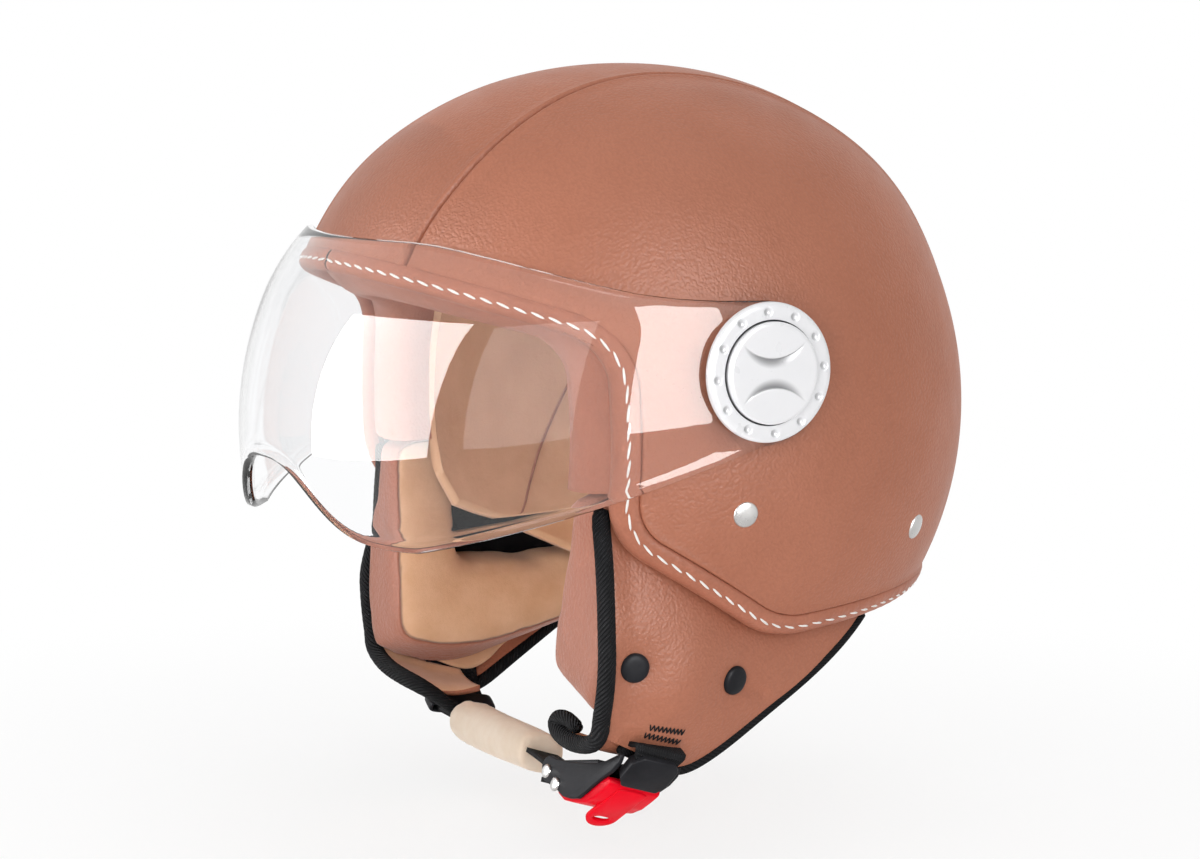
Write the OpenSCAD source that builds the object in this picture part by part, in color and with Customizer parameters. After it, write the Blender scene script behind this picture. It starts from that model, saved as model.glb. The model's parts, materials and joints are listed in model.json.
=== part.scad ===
// Open face motorcycle helmet: leather covered dome, bubble visor on two pivots, soft ear flaps
// and a chin strap with a ratchet buckle. Millimetres. The origin is midway between the visor
// pivots. +X is the wearer's left, -Y is the front and +Z is up.

/* [Dome] */
// Radius of the dome in side view, over the leather
dome_r = 134; // [131:1:138]
// Half width of the dome, over the leather
dome_w = 122; // [119:1:125]
// How far the dome's centre lies behind the pivots
dome_back = 10; // [8:1:12]
// How far the dome's centre lies below the pivots
dome_drop = 26; // [23:1:28]
// Thickness of the leather cover
leather_t = 1.5; // [1:0.1:2]
// Thickness of the moulded shell
shell_t = 4; // [3:0.5:5]
// Thickness of the impact foam at the crown
liner_t = 24; // [20:1:26]
// Extra foam and lining at the sides
side_extra = 5; // [3:1:6]
// Thickness of the comfort lining
lining_t = 8; // [6:1:9]
// Width of the centre panels of the leather cover and of the lining
centre_panel_w = 77; // [60:1:90]
lining_panel_w = 84; // [70:1:100]

/* [Face opening and rim] */
// Height of the brow at the middle
brow_z = 33; // [30:1:36]
// Slope of the brow edge in side view, degrees
brow_slope = 18.8; // [15:0.2:22]
// Where the side edge of the face opening lies
cheek_y = -46.5; // [-50:0.5:-44]
// Height of the jaw corner
jaw_z = -58.6; // [-61:0.2:-56]
// Slope of the rim from the jaw to below the ear, degrees
jaw_slope = 31.4; // [29:0.2:34]
// Height of the rim below the ear
rim_z = -98.6; // [-102:0.2:-96]
// Rise of the rim towards the nape, degrees
nape_rise = 3.8; // [2:0.2:6]
// Corner radii at the temple, the jaw and below the ear
temple_r = 22; // [18:1:26]
jaw_r = 24; // [20:1:28]
ear_r = 40; // [30:1:50]
// Width of the leather binding along the rim
binding_w = 6; // [5:0.5:8]
// How far the binding stands proud of the leather
binding_proud = 1.2; // [0.6:0.2:2]
// How far the padded face trim shows past the rim
trim_show = 8; // [5:1:10]

/* [Ear flaps and cheek pads] */
// Thickness of a flap
flap_t = 3; // [2:0.5:4]
// Front edge of a flap
flap_front_y = -50; // [-51:0.5:-49.5]
// Lowest corner at the front of a flap
flap_front_z = -133; // [-136:1:-130]
// Where the rear edge of a flap meets the rim
flap_rear_y = 72; // [68:1:73]
// Diameter of the piping on the front edge
piping_d = 6.4; // [5:0.2:7]
// Diameter of the press studs
stud_d = 11; // [9:0.5:13]
// Inner face of a cheek pad, from the middle
pad_inner_x = 64; // [62:1:68]
// Front, rear, top and bottom of a cheek pad
pad_front_y = -56; // [-57:1:-53]
pad_rear_y = 44; // [40:1:46]
pad_top_z = -42; // [-44:1:-40]
pad_bottom_z = -126; // [-130:1:-122]
// Middle and size of the ear opening
ear_y = 5; // [2:1:8]
ear_z = -78; // [-81:1:-75]
ear_w = 50; // [44:1:54]
ear_h = 40; // [36:1:44]

/* [Visor and pivots] */
// Thickness of the visor
visor_t = 2.4; // [2:0.2:3]
// How far the visor's front lies ahead of the dome
visor_reach = 14; // [12:1:18]
// Gap between the visor's top edge and the leather
visor_gap = 2.6; // [2.2:0.2:4]
// Height of the visor's top edge at the middle
visor_top_z = 43; // [41:1:45]
// Lowest point of the visor's two lobes
visor_low_z = -64.5; // [-68:0.5:-62]
// Height of the nose arch above the lobes
nose_arch = 28; // [22:1:32]
// Radius of the visor's ears
visor_ear_r = 26; // [25.5:0.5:28]
// Diameter of the pivot discs
disc_d = 50; // [46:1:51]
// Share of the disc's diameter that the knob takes
knob_share = 0.73; // [0.68:0.01:0.78]
// Height of the pivot base and of the visor's outer face over the dome's widest point
base_stand = 1.2; // [0.8:0.1:1.4]
visor_stand = 5.4; // [5.2:0.1:6]
// Thickness of the bezel ring and of the knob
bezel_t = 3.4; // [3:0.2:6]
knob_t = 2.2; // [2:0.1:4]
// Radius of the boss that the visor turns on
boss_r = 6; // [5:0.5:7]
// Radius of the pivot screw
screw_r = 2.5; // [2:0.25:3]
// Dimples round a bezel ring
dimples = 12; // [8:1:16]

/* [Chin strap and buckle] */
// Width and thickness of the webbing
web_w = 22; // [20:1:23]
web_t = 1.8; // [1.4:0.1:2]
// Width and thickness of the padded sleeve
sleeve_w = 25.5; // [25:0.5:28]
sleeve_t = 12; // [10:1:14]
// Middle of the buckle
buckle_pos = [70.5, -33, -154];
// Turns of the buckle about the strap's length, its slope and its turn in plan, degrees
buckle_roll = 18; // [16:1:20]
buckle_slope = 11; // [10:0.5:12]
buckle_yaw = 5; // [4:0.5:6]
// Width over the buckle's cheeks
buckle_w = 26.4; // [26:0.2:27]
// Radius of the buckle's two pins
pin_r = 1.5; // [1.2:0.1:1.8]
// Pitch of the ratchet teeth
tooth_pitch = 3; // [2.5:0.1:3.5]
// Diameter of the strap rivets' heads
rivet_d = 9.6; // [8:0.2:11]

/* [Hidden] */

$fn = 64;
// Seat gap between pieces of one body, and clearance between pieces that move
seat = 0.2;
play = 0.3;
running = 0.05;
// Gap between the webbing's middle and a flap's inner face
web_gap = 2.2;
arc_step = 9;
far = 200;

leather = [0.70, 0.44, 0.34];
suede = [0.87, 0.69, 0.51];
black = [0.06, 0.06, 0.07];
foam = [0.20, 0.20, 0.21];
silver = [0.88, 0.88, 0.89];
steel = [0.70, 0.71, 0.73];
red = [0.90, 0.08, 0.16];
clear = [0.92, 0.94, 0.97, 0.35];

// Layers of the wall, measured inwards from the leather
shell_out = leather_t + 0.1;
shell_in = shell_out + shell_t;
liner_out = shell_in + seat;
liner_in = liner_out + liner_t;
lining_out = liner_in + seat;
lining_in = lining_out + lining_t;
binding_in = shell_in + 1.4;
trim_out = binding_in + seat;
trim_depth = binding_w + 8;

// Plane geometry in side view: [y, z] pairs
function left_of(u) = [-u[1], u[0]];
function cross2(a, b) = a[0] * b[1] - a[1] * b[0];
function turned(v, a) = [v[0] * cos(a) - v[1] * sin(a), v[0] * sin(a) + v[1] * cos(a)];
function meet(p, u, q, v) = p + u * cross2(q - p, v) / cross2(u, v);
function corner(c, u, v, r) =
    let (turn = atan2(cross2(u, v), u * v),
         n = ceil(abs(turn) / arc_step),
         arm = -left_of(u) * sign(turn) * r,
         middle = c - u * r * tan(abs(turn) / 2) - arm)
    [for (i = [0 : n]) middle + turned(arm, turn * i / n)];

// The rim in side view, moved inwards by d: brow, temple, jaw, below the ear, nape
temple = [cheek_y, brow_z - (cheek_y + 110) * tan(brow_slope)];
jaw = [cheek_y, jaw_z];
under_ear = [cheek_y + (jaw_z - rim_z) / tan(jaw_slope), rim_z];
brow_dir = [cos(brow_slope), -sin(brow_slope)];
side_dir = [0, -1];
jaw_dir = [cos(jaw_slope), -sin(jaw_slope)];
nape_dir = [cos(nape_rise), sin(nape_rise)];
function rim_path(d) =
    let (a = meet(temple + left_of(brow_dir) * d, brow_dir, jaw + left_of(side_dir) * d, side_dir),
         b = meet(jaw + left_of(side_dir) * d, side_dir, jaw + left_of(jaw_dir) * d, jaw_dir),
         c = meet(jaw + left_of(jaw_dir) * d, jaw_dir, under_ear + left_of(nape_dir) * d, nape_dir))
    concat([a - brow_dir * far], corner(a, brow_dir, side_dir, temple_r + d),
        corner(b, side_dir, jaw_dir, jaw_r - d), corner(c, jaw_dir, nape_dir, ear_r - d),
        [c + nape_dir * far]);

// The larger of two values, with a soft change from one to the other
blend = 4;
function soft_max(a, b) = let (m = max(a, b)) m + blend * ln(exp((a - m) / blend) + exp((b - m) / blend));
function smooth(t) = let (c = min(1, max(0, t))) c * c * (3 - 2 * c);

module across(yz) {
    rotate([90, 0, 90]) linear_extrude(2 * far, center = true) polygon(yz);
}

module inside_rim(d) {
    across(concat(rim_path(d), [[far, far], [-far, far]]));
}

module rim_strip(d0, d1) {
    difference() {
        inside_rim(d0);
        inside_rim(d1);
    }
}

// Solid dome, smaller than the leather by d in side view and by e in width
module dome(d, e) {
    translate([0, dome_back, -dome_drop])
        rotate([0, 90, 0])
            rotate_extrude($fn = 96)
                polygon([for (a = [-90 : 5 : 90]) [(dome_r - d) * cos(a), (dome_w - e) * sin(a)]]);
}

function side_off(d) = d > shell_in ? d + side_extra * min(1, (d - shell_in) / liner_t) : d;

module wall(d0, d1) {
    difference() {
        dome(d0, side_off(d0));
        dome(d1, side_off(d1));
    }
}

function dome_x(y, z, d) =
    (dome_w - d) * sqrt(max(0, 1 - (pow(y - dome_back, 2) + pow(z + dome_drop, 2)) / pow(dome_r - d, 2)));

module slab_x(x0, x1) {
    translate([x0, -far, -far]) cube([x1 - x0, 2 * far, 2 * far]);
}

module both_sides() {
    children();
    mirror([1, 0, 0]) children();
}

// A skin over rings of points, closed at both ends or round to the first ring
function skin(m, n, wrap) = [for (i = [0 : m - (wrap ? 1 : 2)], j = [0 : n - 1], k = [0, 1])
    let (a = i * n + j, b = i * n + (j + 1) % n, c = (a + n) % (m * n), d = (b + n) % (m * n))
    k == 0 ? [a, d, b] : [a, c, d]];

// An end ring closed by triangles from side to side
function cap(first, n, flip) = [for (j = [0 : n / 2 - 2], k = [0, 1])
    let (a = first + j, b = first + j + 1, c = first + n - 2 - j, d = first + n - 1 - j,
         f = k == 0 ? [a, b, c] : [a, c, d])
    flip ? [f[0], f[2], f[1]] : f];

module loft(rings, wrap = false) {
    m = len(rings);
    n = len(rings[0]);
    polyhedron([for (r = rings) each r],
        concat(skin(m, n, wrap), wrap ? [] : concat(cap(0, n, false), cap((m - 1) * n, n, true))),
        convexity = 8);
}

// Shape of a strip or a tube swept along points, with its width turned by a roll angle
function unit(v) = v / norm(v);
function heading(p, i) = unit(p[min(i + 1, len(p) - 1)] - p[max(i - 1, 0)]);
function strip_ring(p, t, roll, section) =
    let (w = unit(cross(cross(t, [0, -cos(roll), sin(roll)]), t)), n = cross(t, w))
    [for (s = section) p + w * s[0] + n * s[1]];
function oval(w, t, sides, e) = [for (i = [0 : sides - 1]) let (a = 360 * i / sides)
    [w / 2 * sign(cos(a)) * pow(abs(cos(a)), e), t / 2 * sign(sin(a)) * pow(abs(sin(a)), e)]];

// Wall and cover
module outer_shell() {
    color(foam) difference() {
        intersection() {
            wall(shell_out, shell_in);
            inside_rim(binding_w + seat);
        }
        pivot_hole(screw_r + seat);
        rivet_holes(rivet_shank_r + running);
    }
}

module leather_layer(x0, x1) {
    difference() {
        intersection() {
            wall(0, leather_t);
            inside_rim(binding_w + seat);
            slab_x(x0, x1);
        }
        pivot_hole(screw_r + seat);
        rivet_holes(rivet_shank_r + running);
    }
}

module leather_centre_panel() {
    color(leather) leather_layer(-centre_panel_w / 2 + seat, centre_panel_w / 2 - seat);
}

module leather_left_panel() {
    color(leather) leather_layer(centre_panel_w / 2 + seat, far);
}

module leather_right_panel() {
    color(leather) leather_layer(-far, -centre_panel_w / 2 - seat);
}

module edge_binding() {
    color(leather) intersection() {
        wall(-binding_proud, binding_in);
        rim_strip(0, binding_w);
    }
}

// Foam and lining end above the cheek pads
module pad_pocket() {
    across([[-far, pad_top_z + seat], [pad_rear_y + 2, pad_top_z + seat],
        [pad_rear_y + 2, -far], [-far, -far]]);
}

module impact_liner() {
    color(foam) difference() {
        intersection() {
            wall(liner_out, liner_in);
            inside_rim(trim_depth + seat);
        }
        pad_pocket();
        pivot_hole(nut_r + play);
        rivet_holes(washer_r + play);
    }
}

module lining_layer(x0, x1) {
    color(suede) difference() {
        intersection() {
            wall(lining_out, lining_in);
            inside_rim(trim_depth + seat);
            slab_x(x0, x1);
        }
        pad_pocket();
    }
}

module crown_lining() {
    lining_layer(-lining_panel_w / 2 + seat / 2, lining_panel_w / 2 - seat / 2);
}

module left_lining() {
    lining_layer(lining_panel_w / 2 + seat / 2, far);
}

module right_lining() {
    lining_layer(-far, -lining_panel_w / 2 - seat / 2);
}

trim_end_y = dome_back + dome_r / 2;
module face_trim() {
    color(leather) difference() {
        intersection() {
            wall(trim_out, lining_in);
            rim_strip(-trim_show, trim_depth);
        }
        across([[-far, pad_top_z + seat], [far, pad_top_z + seat], [far, -far], [-far, -far]]);
        across([[far, 2 * far], [far, -far], [trim_end_y, -far], [trim_end_y, 2 * far]]);
    }
}

module nape_lining() {
    color(leather) difference() {
        intersection() {
            wall(trim_out, lining_in);
            rim_strip(1, trim_depth);
        }
        across([[-far, far], [flap_rear_y + 3, far], [flap_rear_y + 3, -far], [-far, -far]]);
    }
}

// Ear flap: x of its outer face, and its top and bottom edges
flap_mid_y = -40;
flap_gap = 1.15;
flap_belly = 5;
flap_fall = 21;
flap_tuck_z = -100;
flap_tuck = 140;
flap_tip_slope = 0.5;
flap_rear_slope = 0.618;
flap_lap = 5.5;
function rim_at(y) =
    soft_max(jaw_z - (y - cheek_y) * tan(jaw_slope), rim_z + (y - under_ear[0]) * tan(nape_rise));
function rim_x(y) = let (s = max(y, flap_mid_y)) dome_x(s, rim_at(s), binding_in) - flap_gap;
function flap_x(y, z) = rim_x(y) + flap_belly * (1 - exp(-max(0, rim_at(y) - z) / flap_fall))
    - pow(max(0, flap_tuck_z - z), 2) / flap_tuck;
function flap_top(y) = rim_at(y) + flap_lap;
function flap_bottom(y) = soft_max(flap_front_z - flap_tip_slope * (y - flap_front_y),
    rim_z - 1.4 - flap_rear_slope * (flap_rear_y - y));

flap_rows = 10;
flap_columns = 26;
function flap_y(i) = flap_front_y + piping_d / 2 + seat
    + (flap_rear_y - flap_front_y - piping_d / 2 - seat) * i / flap_columns;
function flap_ring(y) =
    let (z0 = flap_bottom(y) + 0.6 * edge_tape_w + seat, z1 = flap_top(y))
    concat([for (k = [flap_rows : -1 : 0]) let (z = z0 + (z1 - z0) * k / flap_rows) [flap_x(y, z), y, z]],
        [for (k = [0 : flap_rows]) let (z = z0 + (z1 - z0) * k / flap_rows)
            [flap_x(y, z) - flap_t, y, z]]);

edge_tape_w = 4;
slot_y = -27.5;
slot_z = -132;
slot_h = 10.4;
stud_places = [[-39, -107], [4, -116]];
stud_shank_r = 2.2;

module on_flap_face(s) {
    n = unit([1, (flap_x(s[0] - 1, s[1]) - flap_x(s[0] + 1, s[1])) / 2,
        (flap_x(s[0], s[1] - 1) - flap_x(s[0], s[1] + 1)) / 2]);
    translate([flap_x(s[0], s[1]), s[0], s[1]]) rotate([0, acos(n[2]), atan2(n[1], n[0])]) children();
}

module ear_flap() {
    color(leather) difference() {
        loft([for (i = [0 : flap_columns]) flap_ring(flap_y(i))]);
        for (s = stud_places)
            on_flap_face(s) cylinder(h = 6 * flap_t, r = stud_shank_r + running, center = true);
        translate([flap_x(slot_y, slot_z), slot_y, slot_z])
            cube([6 * flap_t, web_w + 2, slot_h], center = true);
    }
}

module left_ear_flap() {
    ear_flap();
}

module right_ear_flap() {
    mirror([1, 0, 0]) ear_flap();
}

// Suede lining inside the foot of a flap, with a pocket for the webbing
lining_sheet_t = 1.2;
lining_top_z = -121;
lining_front_y = flap_front_y + piping_d / 2 + 1;
lining_rear_y = 24;
lining_rows = 5;
lining_columns = 20;
pocket = web_gap + web_t / 2 + play - seat;
function lining_x(y, z) = flap_x(y, z) - flap_t - seat
    - pocket * smooth((y - lining_front_y) / 6) * smooth((5 - y) / 11);
function lining_ring(y) =
    let (z0 = flap_bottom(y) + 2 * edge_tape_w, z1 = lining_top_z)
    concat([for (k = [lining_rows : -1 : 0]) let (z = z0 + (z1 - z0) * k / lining_rows)
            [lining_x(y, z), y, z]],
        [for (k = [0 : lining_rows]) let (z = z0 + (z1 - z0) * k / lining_rows)
            [lining_x(y, z) - lining_sheet_t, y, z]]);

module flap_lining() {
    color(suede) loft([for (i = [0 : lining_columns])
        lining_ring(lining_front_y + (lining_rear_y - lining_front_y) * i / lining_columns)]);
}

module left_flap_lining() {
    flap_lining();
}

module right_flap_lining() {
    mirror([1, 0, 0]) flap_lining();
}

// Piping on the front edge, with a curl at its foot
piping_steps = 14;
curl_r = 7;
function piping_point(i) =
    let (z0 = -52, z1 = flap_front_z + 4, k = min(i, piping_steps) / piping_steps,
         z = z0 + (z1 - z0) * k, a = max(0, i - piping_steps) * 30)
    [flap_x(flap_front_y, z) - flap_t / 2 - curl_r * (1 - cos(a)), flap_front_y - 2 * a / 120,
        z - curl_r * sin(a)];
function ring_at(p, t, ref, r, sides) =
    let (u = unit(cross(t, ref)), v = cross(t, u))
    [for (j = [0 : sides - 1]) p + r * (u * cos(360 * j / sides) + v * sin(360 * j / sides))];

module flap_piping() {
    path = [for (i = [0 : piping_steps + 4]) piping_point(i)];
    color(black) loft([for (i = [0 : len(path) - 1])
        ring_at(path[i], heading(path, i), [0, 1, 0], piping_d / 2, 12)]);
}

module left_flap_piping() {
    flap_piping();
}

module right_flap_piping() {
    mirror([1, 0, 0]) flap_piping();
}

// Tape that binds the lower edge of a flap
tape_steps = 30;
tape_start_y = flap_front_y + piping_d / 2 + curl_r + 1;
module flap_binding() {
    path = [for (i = [0 : tape_steps])
        let (y = tape_start_y + (flap_rear_y - tape_start_y) * i / tape_steps, z = flap_bottom(y))
        [flap_x(y, z) - flap_t / 2, y, z]];
    color(black) loft([for (i = [0 : tape_steps])
        let (t = heading(path, i), n = unit(cross(cross(t, [1, 0, 0]), t)), w = cross(t, n))
        [for (s = oval(flap_t + 1.6, edge_tape_w, 10, 0.7)) path[i] + n * s[0] + w * s[1]]]);
}

module left_flap_binding() {
    flap_binding();
}

module right_flap_binding() {
    mirror([1, 0, 0]) flap_binding();
}

// Cheek pad: a crowned ring round the ear opening
pad_turns = 48;
pad_back_gap = 5;
pad_square = 6;
pad_flare = 12;
function pad_reach(a, left, right, up, down, e) =
    pow(pow(abs(cos(a)) / (cos(a) < 0 ? left : right), e)
        + pow(abs(sin(a)) / (sin(a) < 0 ? down : up), e), -1 / e);
function pad_back(y, z) = flap_x(y, max(z, flap_bottom(y) + 6)) - flap_t - pad_back_gap;
// Each section runs out from the ear hole along the outer face, then back over the inner face
pad_section = concat([for (k = [0 : 7]) [0.03 + 0.93 * k / 7, 0]], [[0.99, 0.06], [1, 0.3], [0.99, 0.62],
    [0.95, 0.82], [0.86, 0.95], [0.66, 0.995], [0.4, 1], [0.16, 0.9], [0.04, 0.6], [0, 0.12]]);
function pad_point(a, s) =
    let (hole = pad_reach(a, ear_w / 2, ear_w / 2, ear_h / 2, ear_h / 2, 2.4),
         edge = pad_reach(a, ear_y - pad_front_y, pad_rear_y - ear_y, pad_top_z - ear_z,
             ear_z - pad_bottom_z, pad_square) + pad_flare * (1 - s[1]) * pow(max(0, -sin(a)), 3),
         r = hole + (edge - hole) * s[0],
         y = ear_y + r * cos(a), z = ear_z + r * sin(a),
         back = pad_back(y, z),
         front_lean = 12 * max(0, (z - ear_z) / (pad_top_z - ear_z)),
         face = pad_inner_x + front_lean)
    [back - (back - face) * s[1], y, z];

module cheek_pad() {
    color(suede) loft([for (i = [0 : pad_turns - 1])
        [for (s = pad_section) pad_point(360 * i / pad_turns, s)]], true);
}

module left_cheek_pad() {
    cheek_pad();
}

module right_cheek_pad() {
    mirror([1, 0, 0]) cheek_pad();
}

module stud() {
    r = stud_d / 2;
    rotate_extrude() polygon([[0, 0.8], [r, 0.8], [r, 1.4], [r - 0.8, 2.3], [0, 2.8]]);
    translate([0, 0, -flap_t - 1.2]) cylinder(h = flap_t + 2.2, r = stud_shank_r);
    translate([0, 0, -flap_t - 1.6]) cylinder(h = 1.2, r = stud_shank_r + 1.6);
}

module press_studs() {
    color(black) both_sides()
        for (s = stud_places)
            on_flap_face(s) stud();
}

// Strap rivets through the wall
strap_rivet = [-3, -52];
rear_rivet = [84, -66];
rivet_places = [strap_rivet, rear_rivet];
rivet_shank_r = 2.5;
washer_r = 8;
rivet_washer_t = 1.4;
// Depth of a washer's outer face: the strap's rivets hold the webbing under it
function washer_at(p) = shell_in + (p == strap_rivet ? web_t + 0.9 : 0.6);
function dome_normal(p) = unit([p[0] / pow(dome_w, 2), (p[1] - dome_back) / pow(dome_r, 2),
    (p[2] + dome_drop) / pow(dome_r, 2)]);
module on_dome(p) {
    q = [dome_x(p[0], p[1], 0), p[0], p[1]];
    n = dome_normal(q);
    translate(q) rotate([0, acos(n[2]), atan2(n[1], n[0])]) children();
}

module rivet_holes(r) {
    both_sides()
        for (p = rivet_places)
            on_dome(p) cylinder(h = 60, r = r, center = true);
}

module strap_rivets() {
    r = rivet_d / 2;
    color(steel) both_sides()
        for (p = rivet_places)
            on_dome(p) {
                translate([0, 0, 0.4]) rotate_extrude()
                    polygon([[0, 0], [r, 0], [r - 0.6, 0.9], [r / 2, 1.5], [0, 1.7]]);
                translate([0, 0, -washer_at(p) - rivet_washer_t - 0.8])
                    cylinder(h = washer_at(p) + rivet_washer_t + 1.4, r = rivet_shank_r);
                translate([0, 0, -washer_at(p) - rivet_washer_t - 1.2])
                    cylinder(h = 1.1, r = rivet_shank_r + 1.5);
            }
}

module rivet_washers() {
    color(steel) both_sides()
        for (p = rivet_places)
            on_dome(p) translate([0, 0, -washer_at(p) - rivet_washer_t]) difference() {
                cylinder(h = rivet_washer_t, r = washer_r);
                translate([0, 0, -1]) cylinder(h = 4, r = rivet_shank_r + running);
            }
}

// Visor pivots, stacked outwards along +X
base_face = dome_w + base_stand;
visor_x = dome_w + visor_stand;
washer_t = 0.5;
bezel_face = visor_x + washer_t + 2 * running;
knob_face = bezel_face + bezel_t;
nut_r = 7;
nut_face = dome_x(0, 0, shell_in) - 2.2;
knob_r = disc_d / 2 * knob_share;

module along_x(x0, x1, r) {
    translate([x0, 0, 0]) rotate([0, 90, 0]) cylinder(h = x1 - x0, r = r);
}

module pivot_hole(r) {
    along_x(-far, far, r);
}

module pivot_base() {
    color(black) difference() {
        union() {
            along_x(dome_w - 12, base_face, disc_d / 2 - 4);
            along_x(base_face - 1, visor_x - visor_t - play, boss_r + 2);
            along_x(base_face - 1, bezel_face - running, boss_r - running);
        }
        dome(-0.1, -0.1);
        pivot_hole(screw_r + seat);
    }
}

module left_pivot_base() {
    pivot_base();
}

module right_pivot_base() {
    mirror([1, 0, 0]) pivot_base();
}

module pivot_nuts() {
    color(steel) both_sides() difference() {
        union() {
            along_x(nut_face - 1.5, nut_face, nut_r);
            along_x(nut_face - 8, nut_face - 1, screw_r + 1.5);
        }
        pivot_hole(screw_r + running);
    }
}

module pivot_washers() {
    color(steel) both_sides() difference() {
        along_x(visor_x + running, visor_x + running + washer_t, boss_r + 5);
        pivot_hole(boss_r + running);
    }
}

module pivot_bezel() {
    r = disc_d / 2;
    color(silver) difference() {
        translate([bezel_face, 0, 0]) rotate([0, 90, 0]) rotate_extrude()
            polygon([[0, 0], [r - 0.6, 0], [r, 0.6], [r, bezel_t - 1.6], [r - 0.8, bezel_t - 0.5],
                [r - 2.2, bezel_t], [0, bezel_t]]);
        pivot_hole(screw_r + seat);
        for (i = [0 : dimples - 1])
            rotate([360 * i / dimples, 0, 0]) translate([knob_face + 0.6, 0, (r + knob_r) / 2])
                sphere(r = 1.9);
    }
}

module left_pivot_bezel() {
    pivot_bezel();
}

module right_pivot_bezel() {
    mirror([1, 0, 0]) pivot_bezel();
}

// Knob with two crescent scallops back to back, above and below its middle
scallop_r = 13.6;
scallop_off = 15.1;
scallop_cut_r = 17;
scallop_cut_off = 22.5;
scallop_deep = 1;
module pivot_knob() {
    color(silver) difference() {
        translate([knob_face + play, 0, 0]) rotate([0, 90, 0]) rotate_extrude()
            polygon([[0, 0], [knob_r - 0.3, 0], [knob_r, 0.4], [knob_r - 0.2, knob_t - 0.9],
                [knob_r - 1.2, knob_t - 0.1], [0, knob_t]]);
        for (s = [-1, 1])
            difference() {
                translate([0, 0, s * scallop_off])
                    along_x(knob_face + play + knob_t - scallop_deep, knob_face + knob_t + 4, scallop_r);
                translate([0, 0, s * scallop_cut_off])
                    along_x(knob_face, knob_face + knob_t + 6, scallop_cut_r);
            }
        along_x(knob_face - 1, knob_face + play + knob_t - 1.4, screw_r + running);
    }
}

module left_pivot_knob() {
    pivot_knob();
}

module right_pivot_knob() {
    mirror([1, 0, 0]) pivot_knob();
}

module pivot_screw() {
    color(steel) along_x(nut_face - 7, knob_face + play + knob_t - 1.4 - running, screw_r);
}

module left_pivot_screw() {
    pivot_screw();
}

module right_pivot_screw() {
    mirror([1, 0, 0]) pivot_screw();
}

// Visor: half width and front reach at height z, and its edges
visor_mid_z = -33;
visor_front_y = dome_r - dome_back + visor_reach;
visor_top_y = sqrt(pow(dome_r, 2) - pow(visor_top_z + dome_drop, 2)) - dome_back + visor_gap + visor_t;
visor_rise = visor_top_z - visor_mid_z;
visor_bulge = visor_front_y - visor_top_y;
visor_curve_r = (pow(visor_rise, 2) + pow(visor_bulge, 2)) / (2 * visor_bulge);
visor_flat = 14;
function visor_side(z) = visor_x * (z > 0 ? sqrt(1 - pow(max(0, z - visor_flat) / 58, 2))
    : sqrt(1 - pow(max(0, -z - visor_flat) / 190, 2)));
function visor_ahead(z) = visor_front_y - visor_curve_r
    + sqrt(pow(visor_curve_r, 2) - pow(z - visor_mid_z, 2));
ear_top_z = visor_ear_r - 1.5;
lobe_y = 0.82 * visor_front_y;
function visor_top_at(a) = ear_top_z + (visor_top_z - ear_top_z) * smooth((cos(a) - 0.1) / 0.72);
function visor_low_at(a) =
    let (x = visor_x * sin(a), y = -visor_front_y * cos(a),
         side = visor_low_z - (visor_ear_r + visor_low_z) * max(0, y + lobe_y) / lobe_y)
    side + nose_arch * exp(-pow(abs(x) / 38, 3));
visor_rows = 8;
visor_columns = 24;
function visor_point(a, z, t) = [(visor_side(z) - t) * sin(a), -(visor_ahead(z) - t) * cos(a), z];
function visor_ring(a, low, high, y) = concat(
    [for (k = [visor_rows : -1 : 0]) visor_point(a, low + (high - low) * k / visor_rows, 0) + [0, y, 0]],
    [for (k = [0 : visor_rows]) visor_point(a, low + (high - low) * k / visor_rows, visor_t) + [0, y, 0]]);
ear_columns = 6;
function ear_end(s, k) = let (b = 85 * k / ear_columns, h = visor_ear_r * cos(b))
    visor_ring(s * 90, -h, h - 1.5 * cos(b), visor_ear_r * sin(b));

module visor() {
    color(clear) difference() {
        loft(concat([for (k = [ear_columns : -1 : 1]) ear_end(-1, k)],
            [for (i = [-visor_columns : visor_columns]) let (a = 90 * i / visor_columns)
                visor_ring(a, visor_low_at(a), visor_top_at(a), 0)],
            [for (k = [1 : ear_columns]) ear_end(1, k)]));
        pivot_hole(boss_r);
    }
}

// Strap: under a rivet's washer, down inside a flap, out at its foot and under the chin
web_top_z = -43.5;
web_leave_z = -60;
function web_x(y, z) = let (f = smooth((web_leave_z - z) / 11))
    (1 - f) * (dome_x(y, z, shell_in) - play - web_t / 2) + f * (flap_x(y, z) - flap_t - web_gap);
function flat(w, t) =
    concat([for (k = [1, 0, -1]) [k * w / 2, t / 2]], [for (k = [-1, 0, 1]) [k * w / 2, -t / 2]]);
function web_ring(side, y, z) = [for (s = flat(web_w, web_t))
    [side * web_x(y - s[0], z) - s[1], y - s[0], z]];
upper_steps = 20;
web_top_y = strap_rivet[0];
function upper_rings(side, y, z) = [for (k = [0 : upper_steps]) let (f = k / upper_steps)
    web_ring(side, web_top_y + (y - web_top_y) * f, web_top_z + (z - web_top_z) * f)];

function turn_x(v, a) = [v[0], v[1] * cos(a) - v[2] * sin(a), v[1] * sin(a) + v[2] * cos(a)];
function turn_y(v, a) = [v[0] * cos(a) + v[2] * sin(a), v[1], v[2] * cos(a) - v[0] * sin(a)];
function turn_z(v, a) = [v[0] * cos(a) - v[1] * sin(a), v[0] * sin(a) + v[1] * cos(a), v[2]];
function in_buckle(v) = buckle_pos + turn_z(turn_y(turn_x(v, -buckle_roll), -buckle_slope), buckle_yaw);

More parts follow.
